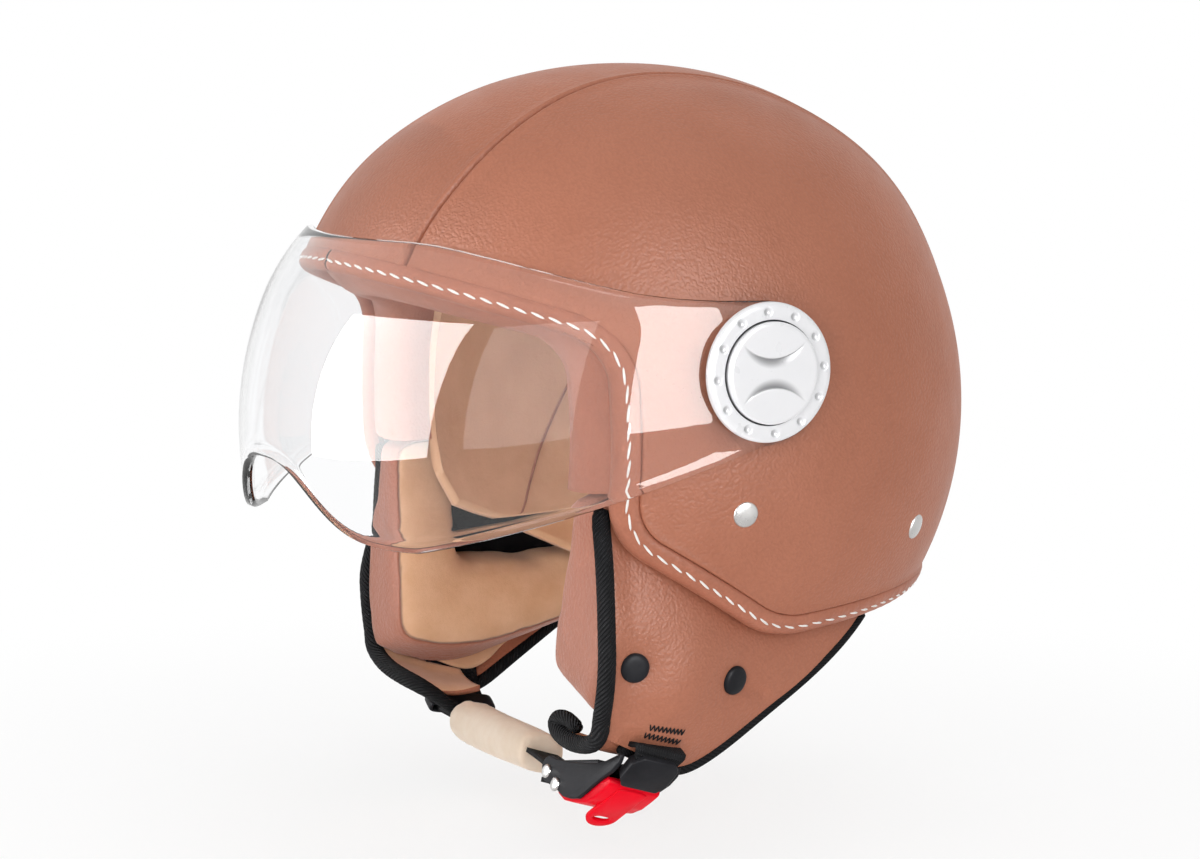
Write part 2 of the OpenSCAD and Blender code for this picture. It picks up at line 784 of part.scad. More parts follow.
// Far side: along the sleeve to the buckle, round the pin and back
pin_x = -21;
loop_r = pin_r + play + web_t / 2;
loop_lead = 7;
foot = [-20, -142];
right_run = concat([[-web_x(foot[0], foot[1]), foot[0], foot[1]], [-82.6, -21, -150], [-64.5, -25, -157],
        [-54, -27, -158.8], [-38, -29.5, -160.4], [-18, -31.6, -161.2], [2, -33.2, -161.4],
        [24, -34.6, -161.2]],
    [in_buckle([pin_x - loop_lead - 1, 0, loop_r])],
    [for (a = [90 : -30 : -90]) in_buckle([pin_x + loop_r * cos(a), 0, loop_r * sin(a)])],
    [in_buckle([pin_x - loop_lead, 0, -loop_r])]);
function right_roll(i) = buckle_roll * smooth(i / 5);
slider_first = 1;
sleeve_first = 2;
sleeve_last = 7;

module right_strap_webbing() {
    color(black) difference() {
        loft(concat(upper_rings(-1, foot[0], foot[1]), [for (i = [1 : len(right_run) - 1])
            strip_ring(right_run[i], heading(right_run, i), right_roll(i), flat(web_w, web_t))]));
        rivet_holes(rivet_shank_r + running);
    }
}

// Near side: out through the slot in the flap and into the tongue's plate
plate_tilt = 40;
tongue_z = 1.4;
plate_x = 26;
plate_l = 15.5;
plate_t = 3;
plate_slot = plate_l - 4.5;
slot_lead = [slot_y, slot_z + 6.5];
slot_mid = [flap_x(slot_y, slot_z) - flap_t / 2, slot_y, slot_z];
function on_plate(a, w, h) = in_buckle([plate_x + a * cos(plate_tilt) - h * sin(plate_tilt), w,
    tongue_z + a * sin(plate_tilt) + h * cos(plate_tilt)]);
function plate_ring(h) = [for (s = flat(web_w, web_t)) on_plate(plate_slot - s[1], -s[0], h)];
plate_lead = plate_t - 0.4;
left_run = [[web_x(slot_lead[0], slot_lead[1]), slot_lead[0], slot_lead[1]], slot_mid,
    slot_mid + [1.9, 0, -2], on_plate(plate_slot, 0, plate_lead)];

module left_strap_webbing() {
    color(black) difference() {
        loft(concat(upper_rings(1, slot_lead[0], slot_lead[1]), [for (i = [1, 2])
            strip_ring(left_run[i], heading(left_run, i), buckle_roll * i / 3, flat(web_w, web_t))],
            [plate_ring(plate_lead), plate_ring(-0.7)]));
        rivet_holes(rivet_shank_r + running);
    }
}

// Padded sleeve: a crowned tube with the webbing's channel through it
sleeve_steps = 4;
function route_point(s) = let (i = min(floor(s), len(right_run) - 2), f = s - i)
    right_run[i] * (1 - f) + right_run[i + 1] * f;
sleeve_path = [for (k = [0 : (sleeve_last - sleeve_first) * sleeve_steps])
    route_point(sleeve_first + k / sleeve_steps)];
module strap_sleeve() {
    last = len(sleeve_path) - 1;
    color(suede) difference() {
        loft([for (i = [0 : last])
            let (fill = 0.8 + 0.2 * sin(180 * i / last))
            strip_ring(sleeve_path[i], heading(sleeve_path, i), right_roll(sleeve_first + i / sleeve_steps),
                oval(sleeve_w * (0.94 + 0.06 * fill), sleeve_t * fill, 20, 0.75))]);
        loft([for (i = [sleeve_first - 1 : sleeve_last + 1])
            strip_ring(right_run[i], heading(right_run, i), right_roll(i), flat(web_w + 1, web_t + 1))]);
    }
}

// Frame on the straight stretch before the sleeve
slider_dir = unit(right_run[slider_first + 1] - right_run[slider_first]);
slider_mid = (right_run[slider_first] + right_run[slider_first + 1]) / 2;
slider_w = 29;
slider_l = 9;
slider_t = 5;
module strap_slider() {
    roll = right_roll(slider_first + 0.5);
    w = unit(cross(cross(slider_dir, [0, -cos(roll), sin(roll)]), slider_dir));
    n = cross(slider_dir, w);
    color(black) multmatrix([for (k = [0 : 2]) [slider_dir[k], w[k], n[k], slider_mid[k]]])
        difference() {
            cube([slider_l, slider_w, slider_t], center = true);
            cube([2 * slider_l, web_w + 1.6, web_t + 1.4], center = true);
        }
}

// Ratchet buckle in its own frame: +x to the left flap, -y to the front, -z outwards
module buckle_frame() {
    translate(buckle_pos) rotate([-buckle_roll, -buckle_slope, buckle_yaw]) children();
}

lever_x = -13.5;
lever_z = -5;
cheek_t = 1.8;
bridge_x = -16;
bridge_l = 28;
bridge_z = 3.8;
cheek_sweep = 13;
// The rear cheek ends short of the flap
front_tip = 24;
rear_tip = 14;
function cheek_outline(tip) =
    [[-26, 5.6], [-26, -1], [-20, -8.6], [-11, -8.8], [-2, -3.5], [tip - cheek_sweep, 0.6],
        [tip, 5.6]];

module pin_along_y(x, z, l, r) {
    translate([x, 0, z]) rotate([90, 0, 0]) cylinder(h = l, r = r, center = true);
}

module extrude_y(w, xz) {
    rotate([90, 0, 0]) linear_extrude(w, center = true) polygon(xz);
}

module buckle_body() {
    color(black) buckle_frame() difference() {
        union() {
            translate([bridge_x, -buckle_w / 2, bridge_z]) cube([bridge_l, buckle_w, cheek_t]);
            for (s = [-1, 1])
                translate([0, s * (buckle_w - cheek_t) / 2, 0])
                    extrude_y(cheek_t, cheek_outline(s < 0 ? front_tip : rear_tip));
        }
        pin_along_y(pin_x, 0, 2 * buckle_w, pin_r + running);
        pin_along_y(lever_x, lever_z, 2 * buckle_w, pin_r + running);
    }
}

module headed_pin(x, z) {
    pin_along_y(x, z, buckle_w + 0.6, pin_r);
    for (s = [-1, 1])
        translate([0, s * (buckle_w / 2 + 0.7), 0]) pin_along_y(x, z, 0.9, pin_r + 1.1);
}

module webbing_pin() {
    color(steel) buckle_frame() headed_pin(pin_x, 0);
}

module lever_pin() {
    color(steel) buckle_frame() headed_pin(lever_x, lever_z);
}

lever_w = buckle_w - 2 * cheek_t - 2 * play;
pawl_x = 4;
lever_outline = [[-12.5, -8], [-12, -2.6], [pawl_x - 1, -1.3], [pawl_x + 0.8, 0.15], [pawl_x + 2, -1.3],
    [13, -1.3], [14.5, -4], [13, -9.6], [-1, -10]];
tab_w = 10;
tab_l = 14;
module tab_frame() {
    translate([11, -1.5, -9]) rotate([0, 0, 28]) rotate([0, 158, 0]) children();
}

module buckle_lever() {
    color(red) buckle_frame() difference() {
        union() {
            pin_along_y(lever_x, lever_z, lever_w, pin_r + 1.8);
            extrude_y(lever_w, lever_outline);
            tab_frame() {
                translate([0, -tab_w / 2, -0.9]) cube([tab_l, tab_w, 1.8]);
                translate([tab_l, 0, -0.9]) cylinder(h = 1.8, r = tab_w / 2);
            }
        }
        pin_along_y(lever_x, lever_z, 2 * buckle_w, pin_r + running);
        tab_frame() translate([tab_l, 0, -4]) cylinder(h = 8, r = 2.4);
        spring_seat();
    }
}

// Torsion spring round the lever pin, in a slot of the lever
spring_w = 5;
spring_r = pin_r + 1;
module spring_seat() {
    pin_along_y(lever_x, lever_z, spring_w + 2 * play, pin_r + 3.4);
}

module lever_spring() {
    color(steel) buckle_frame() difference() {
        pin_along_y(lever_x, lever_z, spring_w, spring_r);
        pin_along_y(lever_x, lever_z, 2 * spring_w, pin_r + running);
    }
}

// Toothed tongue with its plate for the webbing
tongue_w = 16;
tongue_start = -8;
tongue_t = 1.9;
tooth_h = 0.9;
teeth = 7;
plate_half = 12.5;
module ratchet_tongue() {
    color(black) buckle_frame() {
        translate([tongue_start, -tongue_w / 2, tongue_z])
            cube([plate_x - tongue_start + 1.5, tongue_w, tongue_t]);
        for (i = [0 : teeth - 1])
            translate([tongue_start + 1 + i * tooth_pitch, 0, tongue_z])
                extrude_y(tongue_w - 2, [[0, 0.2], [tooth_pitch - 0.4, 0.2], [tooth_pitch - 0.4, -tooth_h]]);
        translate([plate_x, 0, tongue_z]) rotate([0, -plate_tilt, 0]) translate([0, 0, -1]) difference() {
            linear_extrude(plate_t) polygon([[0, -9.5], [4, -plate_half], [plate_l - 2, -plate_half],
                [plate_l, -plate_half + 2], [plate_l, plate_half - 2], [plate_l - 2, plate_half],
                [4, plate_half], [0, 9.5]]);
            translate([plate_slot, 0, 0]) cube([3.6, web_w + 1, 4 * plate_t], center = true);
        }
    }
}

outer_shell();
leather_centre_panel();
leather_left_panel();
leather_right_panel();
edge_binding();
impact_liner();
crown_lining();
left_lining();
right_lining();
face_trim();
nape_lining();
left_cheek_pad();
right_cheek_pad();
left_ear_flap();
right_ear_flap();
left_flap_lining();
right_flap_lining();
left_flap_piping();
right_flap_piping();
left_flap_binding();
right_flap_binding();
press_studs();
strap_rivets();
rivet_washers();
left_pivot_base();
right_pivot_base();
pivot_nuts();
pivot_washers();
visor();
left_pivot_bezel();
right_pivot_bezel();
left_pivot_knob();
right_pivot_knob();
left_pivot_screw();
right_pivot_screw();
left_strap_webbing();
right_strap_webbing();
strap_sleeve();
strap_slider();
buckle_body();
webbing_pin();
lever_pin();
buckle_lever();
lever_spring();
ratchet_tongue();
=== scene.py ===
import bpy
import bmesh
import json
import math
from mathutils import Matrix, Vector, kdtree, noise


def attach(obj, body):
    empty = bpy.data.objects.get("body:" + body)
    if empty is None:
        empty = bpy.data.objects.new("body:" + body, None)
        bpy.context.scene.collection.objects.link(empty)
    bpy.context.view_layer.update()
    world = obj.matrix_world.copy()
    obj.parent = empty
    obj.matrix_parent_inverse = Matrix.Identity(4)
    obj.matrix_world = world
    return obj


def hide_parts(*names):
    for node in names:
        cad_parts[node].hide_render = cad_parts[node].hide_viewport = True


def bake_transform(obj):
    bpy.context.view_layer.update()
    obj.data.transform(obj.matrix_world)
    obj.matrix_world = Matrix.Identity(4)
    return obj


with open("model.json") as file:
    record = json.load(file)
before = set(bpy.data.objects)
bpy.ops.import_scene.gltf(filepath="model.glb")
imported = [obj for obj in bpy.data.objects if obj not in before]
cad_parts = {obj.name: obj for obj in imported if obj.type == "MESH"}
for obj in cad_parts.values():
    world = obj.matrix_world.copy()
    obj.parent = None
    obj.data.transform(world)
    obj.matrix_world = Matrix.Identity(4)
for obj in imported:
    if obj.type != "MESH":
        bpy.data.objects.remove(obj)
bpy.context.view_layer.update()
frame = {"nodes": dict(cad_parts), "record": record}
scene = bpy.context.scene
scene.view_settings.view_transform = "Standard"
mm = 0.001
homes = {n: b for b, ns in frame["record"]["behaviour"]["bodies"].items() for n in ns}


# plain helpers, all in millimetres
def smooth(t):
    t = min(1.0, max(0.0, t))
    return t * t * (3 - 2 * t)


def mix(a, b, t):
    return a + (b - a) * t


def softMax(a, b, over=4):
    m = max(a, b)
    return m + over * math.log(math.exp((a - m) / over) + math.exp((b - m) / over))


def gauss(d, width):
    return math.exp(-(d / width) ** 2)


def runningLength(points):
    sums = [0.0]
    for a, b in zip(points, points[1:]):
        sums.append(sums[-1] + (b - a).length)
    return sums


def spaced(points, count):
    # the same line with count points at even steps
    sums = runningLength(points)
    made, k = [], 0
    for i in range(count):
        s = sums[-1] * i / (count - 1)
        while k < len(points) - 2 and sums[k + 1] < s:
            k += 1
        span = max(sums[k + 1] - sums[k], 1e-9)
        made.append(points[k].lerp(points[k + 1], min(1, (s - sums[k]) / span)))
    return made


def squared(v, power):
    # a cosine or sine drawn out towards a square's
    return math.copysign(abs(v) ** power, v)


def flipped(points):
    return [Vector((-p.x, p.y, p.z)) for p in points]


def crowded(t, k, last):
    # steps of stretch k, closer at the outer ends of the first and the last
    return t ** 2 if k == 0 else 1 - (1 - t) ** 2 if k == last else t


def curved(points, per):
    # Catmull-Rom line through the points
    ends = [points[0] * 2 - points[1]] + list(points) + [points[-1] * 2 - points[-2]]
    made = []
    for a, b, c, d in zip(ends, ends[1:], ends[2:], ends[3:]):
        for k in range(per):
            t = k / per
            made.append(0.5 * (2 * b + (c - a) * t + (2 * a - 5 * b + 4 * c - d) * t ** 2
                               + (3 * b - a - 3 * c + d) * t ** 3))
    return made + [points[-1].copy()]


def heading(points, i):
    return (points[min(i + 1, len(points) - 1)] - points[max(i - 1, 0)]).normalized()


# looks
def plug(tree, made, sockets):
    # sets a node's inputs to plain values or to other nodes' outputs
    for key, value in sockets.items():
        if isinstance(value, bpy.types.NodeSocket):
            tree.links.new(value, made.inputs[key])
        else:
            made.inputs[key].default_value = value


def node(tree, kind, sockets=None, **settings):
    made = tree.nodes.new("ShaderNode" + kind)
    for key, value in settings.items():
        setattr(made, key, value)
    plug(tree, made, sockets or {})
    return made


def ramp(tree, source, low, high, start=0.3, end=0.7):
    made = node(tree, "ValToRGB", {"Fac": source})
    first, last = made.color_ramp.elements
    first.position, last.position = start, end
    first.color, last.color = low, high
    return made.outputs["Color"]


def blended(tree, share, one, two, way="MIX"):
    return node(tree, "MixRGB", {"Fac": share, "Color1": one, "Color2": two},
                blend_type=way).outputs["Color"]


def times(tree, one, two):
    return node(tree, "Math", {0: one, 1: two}, operation="MULTIPLY").outputs["Value"]


def cloud(tree, coords, scale, detail):
    return node(tree, "TexNoise", {"Vector": coords, "Scale": scale, "Detail": detail}).outputs


def grey(v):
    return (v, v, v, 1)


def threads(tree, coords, scale, kind):
    # slanted ribs for twill, two crossing sets of ribs for a weave
    def ribs(vector, size, distortion, detail):
        return node(tree, "TexWave", {"Vector": vector, "Scale": size, "Distortion": distortion,
                                      "Detail": detail}).outputs["Fac"]
    turn = (0, 0, math.radians(45 if kind == "twill" else 90))
    turned = node(tree, "Mapping", {"Vector": coords, "Rotation": turn}).outputs["Vector"]
    one = ribs(turned, scale, 0.6, 1.0)
    return one if kind == "twill" else times(tree, one, ribs(coords, scale * 0.7, 0.4, 2.0))


def pebbles(tree, coords, scale):
    # rounded cells of uneven shape
    warp = cloud(tree, coords, scale * 0.35, 2.0)["Color"]
    bent = blended(tree, 0.0018, coords, warp, "ADD")
    cells = node(tree, "TexVoronoi", {"Vector": bent, "Scale": scale}, feature="SMOOTH_F1")
    return ramp(tree, cells.outputs["Distance"], grey(1), grey(0), 0.1, 0.75)


def grainHeight(tree, coords, kind, scale):
    if kind == "pebble":
        return pebbles(tree, coords, scale)
    if kind == "noise":
        return cloud(tree, coords, scale, 3.0)["Fac"]
    return threads(tree, coords, scale, kind)


def newLook(name):
    mat = bpy.data.materials.new(name)
    mat.use_nodes = True
    return mat, mat.node_tree, mat.node_tree.nodes["Principled BSDF"]


def look(name, s):
    mat, tree, shader = newLook(name)
    coords = node(tree, "TexCoord").outputs["UV" if s.get("uv") else "Object"]
    patch = cloud(tree, coords, s["patch"], 4.0)["Fac"]
    patch.node.inputs["Roughness"].default_value = 0.6
    colour = ramp(tree, patch, (*s["dark"], 1), (*s["light"], 1))
    shade = cloud(tree, coords, s["patch"] * 3.1, 5.0)["Fac"]
    rough = ramp(tree, shade, grey(s["rough"][0]), grey(s["rough"][1]))
    normal = None
    for kind, scale, strength, depth in s["grain"]:
        height = grainHeight(tree, coords, kind, scale)
        bump = node(tree, "Bump", {"Height": height, "Strength": strength, "Distance": depth})
        if normal:
            plug(tree, bump, {"Normal": normal})
        normal = bump.outputs["Normal"]
    if "tint" in s:
        # darker where the grain sits low, lighter where it stands up
        colour = blended(tree, s["tint"], colour, height, "MULTIPLY")
    plug(tree, shader, {"Base Color": colour, "Roughness": rough, "Normal": normal, **s.get("set", {})})
    return mat


looks = {
    "leather": look("pebbledLeather", {
        "dark": (0.400, 0.146, 0.084), "light": (0.435, 0.163, 0.096), "patch": 26, "rough": (0.42, 0.50),
        "grain": [("noise", 2400, 0.15, 0.0002), ("pebble", 880, 0.36, 0.0005)], "tint": 0.1,
        "set": {"Specular IOR Level": 0.2}}),
    "trim": look("foldedLeather", {
        "dark": (0.385, 0.138, 0.082), "light": (0.450, 0.168, 0.102), "patch": 34, "rough": (0.42, 0.52),
        "grain": [("noise", 160, 0.3, 0.0008), ("pebble", 880, 0.3, 0.0004)], "tint": 0.12,
        "set": {"Specular IOR Level": 0.18}}),
    "suede": look("tanSuede", {
        "dark": (0.660, 0.375, 0.215), "light": (0.760, 0.465, 0.290), "patch": 60, "rough": (0.86, 0.98),
        "grain": [("noise", 420, 0.35, 0.0005), ("noise", 3000, 0.5, 0.0003)],
        "set": {"Sheen Weight": 0.2, "Specular IOR Level": 0.15}}),
    "cream": look("creamSuede", {
        "dark": (0.840, 0.680, 0.520), "light": (0.920, 0.790, 0.650), "patch": 70, "rough": (0.86, 0.98),
        "grain": [("noise", 260, 0.4, 0.0008), ("noise", 2600, 0.5, 0.0003)],
        "set": {"Sheen Weight": 0.2, "Specular IOR Level": 0.15}}),
    "twill": look("blackTwill", {
        "dark": (0.006, 0.006, 0.007), "light": (0.014, 0.014, 0.016), "patch": 90, "rough": (0.7, 0.9),
        "grain": [("noise", 2500, 0.3, 0.0002), ("twill", 250, 0.9, 0.0007)], "tint": 0.6,
        "uv": True, "set": {"Specular IOR Level": 0.1}}),
    "webbing": look("blackWebbing", {
        "dark": (0.006, 0.006, 0.007), "light": (0.013, 0.013, 0.015), "patch": 80, "rough": (0.6, 0.8),
        "grain": [("noise", 2500, 0.3, 0.0002), ("weave", 300, 0.8, 0.0006)], "tint": 0.5,
        "uv": True, "set": {"Specular IOR Level": 0.1}}),
    "plastic": look("blackPlastic", {
        "dark": (0.010, 0.010, 0.012), "light": (0.018, 0.018, 0.021), "patch": 120, "rough": (0.38, 0.50),
        "grain": [("noise", 1500, 0.12, 0.0002)], "set": {"Specular IOR Level": 0.08}}),
    "metal": look("darkMetal", {
        "dark": (0.009, 0.009, 0.011), "light": (0.017, 0.017, 0.020), "patch": 90, "rough": (0.42, 0.52),
        "grain": [("noise", 1800, 0.1, 0.0002)], "set": {"Specular IOR Level": 0.09}}),
    "silver": look("satinSilver", {
        "dark": (0.79, 0.79, 0.805), "light": (0.81, 0.81, 0.825), "patch": 60, "rough": (0.27, 0.30),
        "grain": [("noise", 900, 0.03, 0.0002)], "set": {"Metallic": 0.05, "Specular IOR Level": 0.3}}),
    "steel": look("plainSteel", {
        "dark": (0.46, 0.45, 0.44), "light": (0.58, 0.57, 0.56), "patch": 80, "rough": (0.24, 0.38),
        "grain": [("noise", 900, 0.06, 0.0002)], "set": {"Metallic": 1.0}}),
    "red": look("redPlastic", {
        "dark": (0.770, 0.002, 0.014), "light": (0.860, 0.003, 0.020), "patch": 70, "rough": (0.32, 0.44),
        "grain": [("noise", 1200, 0.08, 0.0002)], "set": {"Specular IOR Level": 0.05}}),
    "white": look("whiteThread", {
        "dark": (0.78, 0.75, 0.71), "light": (0.90, 0.88, 0.85), "patch": 300, "rough": (0.7, 0.9),
        "grain": [("noise", 3000, 0.4, 0.0003)]}),
    "tan": look("brownThread", {
        "dark": (0.300, 0.105, 0.060), "light": (0.420, 0.165, 0.100), "patch": 300, "rough": (0.7, 0.9),
        "grain": [("noise", 3000, 0.4, 0.0003)]}),
    "black": look("blackThread", {
        "dark": (0.006, 0.006, 0.007), "light": (0.016, 0.016, 0.018), "patch": 300, "rough": (0.6, 0.8),
        "grain": [("noise", 3000, 0.4, 0.0003)], "set": {"Specular IOR Level": 0.1}}),
    "foam": look("blackFoam", {
        "dark": (0.006, 0.006, 0.007), "light": (0.012, 0.012, 0.013), "patch": 60, "rough": (0.9, 0.98),
        "grain": [("noise", 700, 0.3, 0.0004)], "set": {"Specular IOR Level": 0.1}}),
}


def clearLook():
    s = {"tint": (0.975, 0.978, 0.985, 1), "ior": 1.41, "marks": 40.0, "haze": (0.0, 0.03)}
    mat, tree, shader = newLook("clearVisor")
    marks = cloud(tree, node(tree, "TexCoord").outputs["Object"], s["marks"], 5.0)["Fac"]
    haze = ramp(tree, marks, grey(s["haze"][0]), grey(s["haze"][1]))
    plug(tree, shader,
         {"Base Color": s["tint"], "Transmission Weight": 1.0, "IOR": s["ior"], "Roughness": haze})
    return mat


def padLook():
    # suede face and leather sides told apart by an attribute, with a sewn seam where they meet
    s = {"leather": (0.420, 0.155, 0.095, 1), "seam": (0.25, 0.10, 0.06, 1), "rough": grey(0.46),
         "change": (0.49, 0.51), "seamEnds": (0.44, 0.56), "pebble": 676, "pebbleDeep": 0.0005,
         "seamDeep": 0.0012}
    mat = looks["suede"].copy()
    mat.name = "padSuedeAndLeather"
    tree = mat.node_tree
    shader = tree.nodes["Principled BSDF"]
    colour, rough, normal = [shader.inputs[key].links[0].from_socket
                             for key in ("Base Color", "Roughness", "Normal")]
    side = node(tree, "Attribute", attribute_name="leatherSide").outputs["Fac"]
    step = ramp(tree, side, grey(0), grey(1), *s["change"])
    seam = ramp(tree, side, grey(1), grey(1), *s["seamEnds"])
    seam.node.color_ramp.elements.new(0.5).color = grey(0)
    coords = node(tree, "TexCoord").outputs["Object"]
    cells = node(tree, "TexVoronoi", {"Vector": coords, "Scale": s["pebble"]}, feature="SMOOTH_F1")
    relief = times(tree, cells.outputs["Distance"], step)
    for height, depth, sunk in ((relief, s["pebbleDeep"], True), (seam, s["seamDeep"], False)):
        normal = node(tree, "Bump",
                      {"Height": height, "Normal": normal, "Strength": 0.6, "Distance": depth},
                      invert=sunk).outputs["Normal"]
    colour = blended(tree, seam, s["seam"], blended(tree, step, colour, s["leather"]))
    rough = blended(tree, step, rough, s["rough"])
    plug(tree, shader, {"Base Color": colour, "Roughness": rough, "Normal": normal})
    return mat


def paintedShadeSilverLook():
    # the satin silver, with painted shade: darkened towards near black where the attribute says, for the
    # shade in grooves, dimples and crescents
    mat = looks["silver"].copy()
    mat.name = "satinSilverPaintedShade"
    tree = mat.node_tree
    shader = tree.nodes["Principled BSDF"]
    share = node(tree, "Attribute", attribute_name="hollow").outputs["Fac"]
    plain = shader.inputs["Base Color"].links[0].from_socket
    # painted shade: the near black colour mixed into the base colour by the attribute
    plug(tree, shader, {"Base Color": blended(tree, share, plain, (0.06, 0.06, 0.065, 1))})
    return mat


looks.update(clear=clearLook(), pad=padLook(), hollows=paintedShadeSilverLook())
print("looks ready", len(looks))


# mesh helpers
def newPiece(name, bm, surface, merge=1e-6):
    if merge:
        bmesh.ops.remove_doubles(bm, verts=bm.verts, dist=merge)
    bmesh.ops.recalc_face_normals(bm, faces=bm.faces)
    for face in bm.faces:
        face.smooth = True
    mesh = bpy.data.meshes.new(name)
    bm.to_mesh(mesh)
    bm.free()
    obj = bpy.data.objects.new(name, mesh)
    scene.collection.objects.link(obj)
    mesh.materials.append(looks[surface])
    return obj


def gridMesh(rows, bm=None):
    # a grid laid over rows of points; its map is in metres along and across
    bm = bm or bmesh.new()
    high, wide = len(rows) - 1, len(rows[0]) - 1
    made = bmesh.ops.create_grid(bm, x_segments=wide, y_segments=high, size=0.5)["verts"]
    along, across = runningLength(rows[high // 2]), runningLength([row[wide // 2] for row in rows])
    layer = bm.loops.layers.uv.verify()
    places = {v: (round((v.co.x + 0.5) * wide), round((v.co.y + 0.5) * high)) for v in made}
    for face in {f for v in made for f in v.link_faces}:
        for loop in face.loops:
            i, j = places[loop.vert]
            loop[layer].uv = (along[i] * mm, across[j] * mm)
    for v, (i, j) in places.items():
        v.co = rows[j][i] * mm
    return bm


def sheetRows(high, wide, pointAt):
    # rows of points; pointAt gets the shares of the way across and along
    return [[pointAt(j / high, i / wide) for i in range(wide + 1)] for j in range(high + 1)]


def skin(name, rows, surface):
    return newPiece(name, gridMesh(rows), surface)


def thicken(obj, thickness, offset=-1.0):
    mod = obj.modifiers.new("thickness", "SOLIDIFY")
    mod.thickness = thickness * mm
    mod.offset = offset
    mod.use_even_offset = True
    return obj


def rounded(obj, width):
    mod = obj.modifiers.new("edges", "BEVEL")
    mod.width = width * mm
    mod.segments = 2
    mod.limit_method = "ANGLE"
    mod.angle_limit = math.radians(40)
    return obj


def tube(path, section, side=(0, 1, 0)):
    # rows of a tube: section gives (across, out) pairs for point i
    rows = []
    for i, p in enumerate(path):
        t = heading(path, i)
        u = t.cross(Vector(side)).normalized()
        v = t.cross(u)
        rows.append([p + u * a + v * b for a, b in section(i)])
    return rows


def circle(r, n):
    return [(r * math.cos(2 * math.pi * k / n), r * math.sin(2 * math.pi * k / n)) for k in range(n + 1)]


def mirrored(obj, name):
    mesh = obj.data.copy()
    mesh.transform(Matrix.Scale(-1, 4, (1, 0, 0)))
    mesh.flip_normals()
    made = bpy.data.objects.new(name, mesh)
    scene.collection.objects.link(made)
    for mod in obj.modifiers:
        copy = made.modifiers.new(mod.name, mod.type)
        for key in ("thickness", "offset", "use_even_offset", "width", "segments", "limit_method",
                    "angle_limit", "levels", "render_levels", "material_offset"):
            if hasattr(mod, key):
                setattr(copy, key, getattr(mod, key))
    return made


def dress(obj, slot, *nodes, body=None):
    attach(obj, body or homes[nodes[0]])
    if nodes:
        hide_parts(*nodes)
    return obj


def stitches(name, pairs, surface, r):
    # one bead of thread for each pair of points; out is the surface's normal there
    bm = bmesh.new()
    for a, b, out in pairs:
        x = (b - a).normalized()
        z = (out - x * out.dot(x)).normalized()
        turn = Matrix((x, z.cross(x), z)).transposed().to_4x4()
        size = Matrix.Diagonal(((b - a).length / 2 * mm, r * mm, r * 0.8 * mm, 1))
        bmesh.ops.create_uvsphere(bm, u_segments=8, v_segments=6, radius=1,
                                  matrix=Matrix.Translation((a + b) / 2 * mm) @ turn @ size)
    return newPiece(name, bm, surface, merge=0)


# the dome and its rim
dome = {"r": 134, "w": 122, "y": 10, "z": -26, "flat": 3.9, "flatW": 27,
        "shoulder": 1.7, "shoulderAt": 50, "shoulderW": 14}
rim = {"browZ": 33, "browSlope": 18.8, "cheekY": -46.5, "jawZ": -58.6, "jawSlope": 31.4, "lowZ": -98.6,
       "napeRise": 3.8, "temple": 22, "jaw": 24, "ear": 40, "counts": (96, 24, 30, 16, 40, 20, 110),
       "arcSteps": 24, "sideSteps": 60}
earY = rim["cheekY"] + (rim["jawZ"] - rim["lowZ"]) / math.tan(math.radians(rim["jawSlope"]))


def domeX(y, z, d=0):
    k = 1 - ((y - dome["y"]) ** 2 + (z - dome["z"]) ** 2) / (dome["r"] - d) ** 2
    return (dome["w"] - d) * math.sqrt(max(0, k))


def domeNormal(p):
    return Vector((p.x / dome["w"] ** 2, (p.y - dome["y"]) / dome["r"] ** 2,
                   (p.z - dome["z"]) / dome["r"] ** 2)).normalized()


def settled(p):
    # the sewn cover lies a little flatter on the crown than a true dome, and fuller at its shoulder
    s = dome
    q = Vector((p.x / s["w"], (p.y - s["y"]) / s["r"], (p.z - s["z"]) / s["r"]))
    lean = math.degrees(math.acos(max(-1, min(1, q.z / q.length))))
    return p + domeNormal(p) * (s["shoulder"] * gauss(lean - s["shoulderAt"], s["shoulderW"])
                                - s["flat"] * gauss(lean, s["flatW"]))


def leftOf(u):
    return Vector((-u.y, u.x))


def rimSides(d):
    # the four straight edges of the rim in side view, moved inwards by d
    def line(y, z, a):
        u = Vector((math.cos(math.radians(a)), math.sin(math.radians(a))))
        return Vector((y, z)) + leftOf(u) * d, u
    return [line(-110, rim["browZ"], -rim["browSlope"]), line(rim["cheekY"], rim["jawZ"], -90),
            line(rim["cheekY"], rim["jawZ"], -rim["jawSlope"]), line(earY, rim["lowZ"], rim["napeRise"])]


def meet(a, b):
    (p, u), (q, v) = a, b
    return p + u * ((q - p).cross(v) / u.cross(v))


def leaves(line, r, way):
    # where a straight edge leaves the dome's side view
    p, u = line
    c = p - Vector((dome["y"], dome["z"]))
    k = c.dot(u)
    return p + u * (-k + way * math.sqrt(max(0, k * k - c.dot(c) + r * r)))


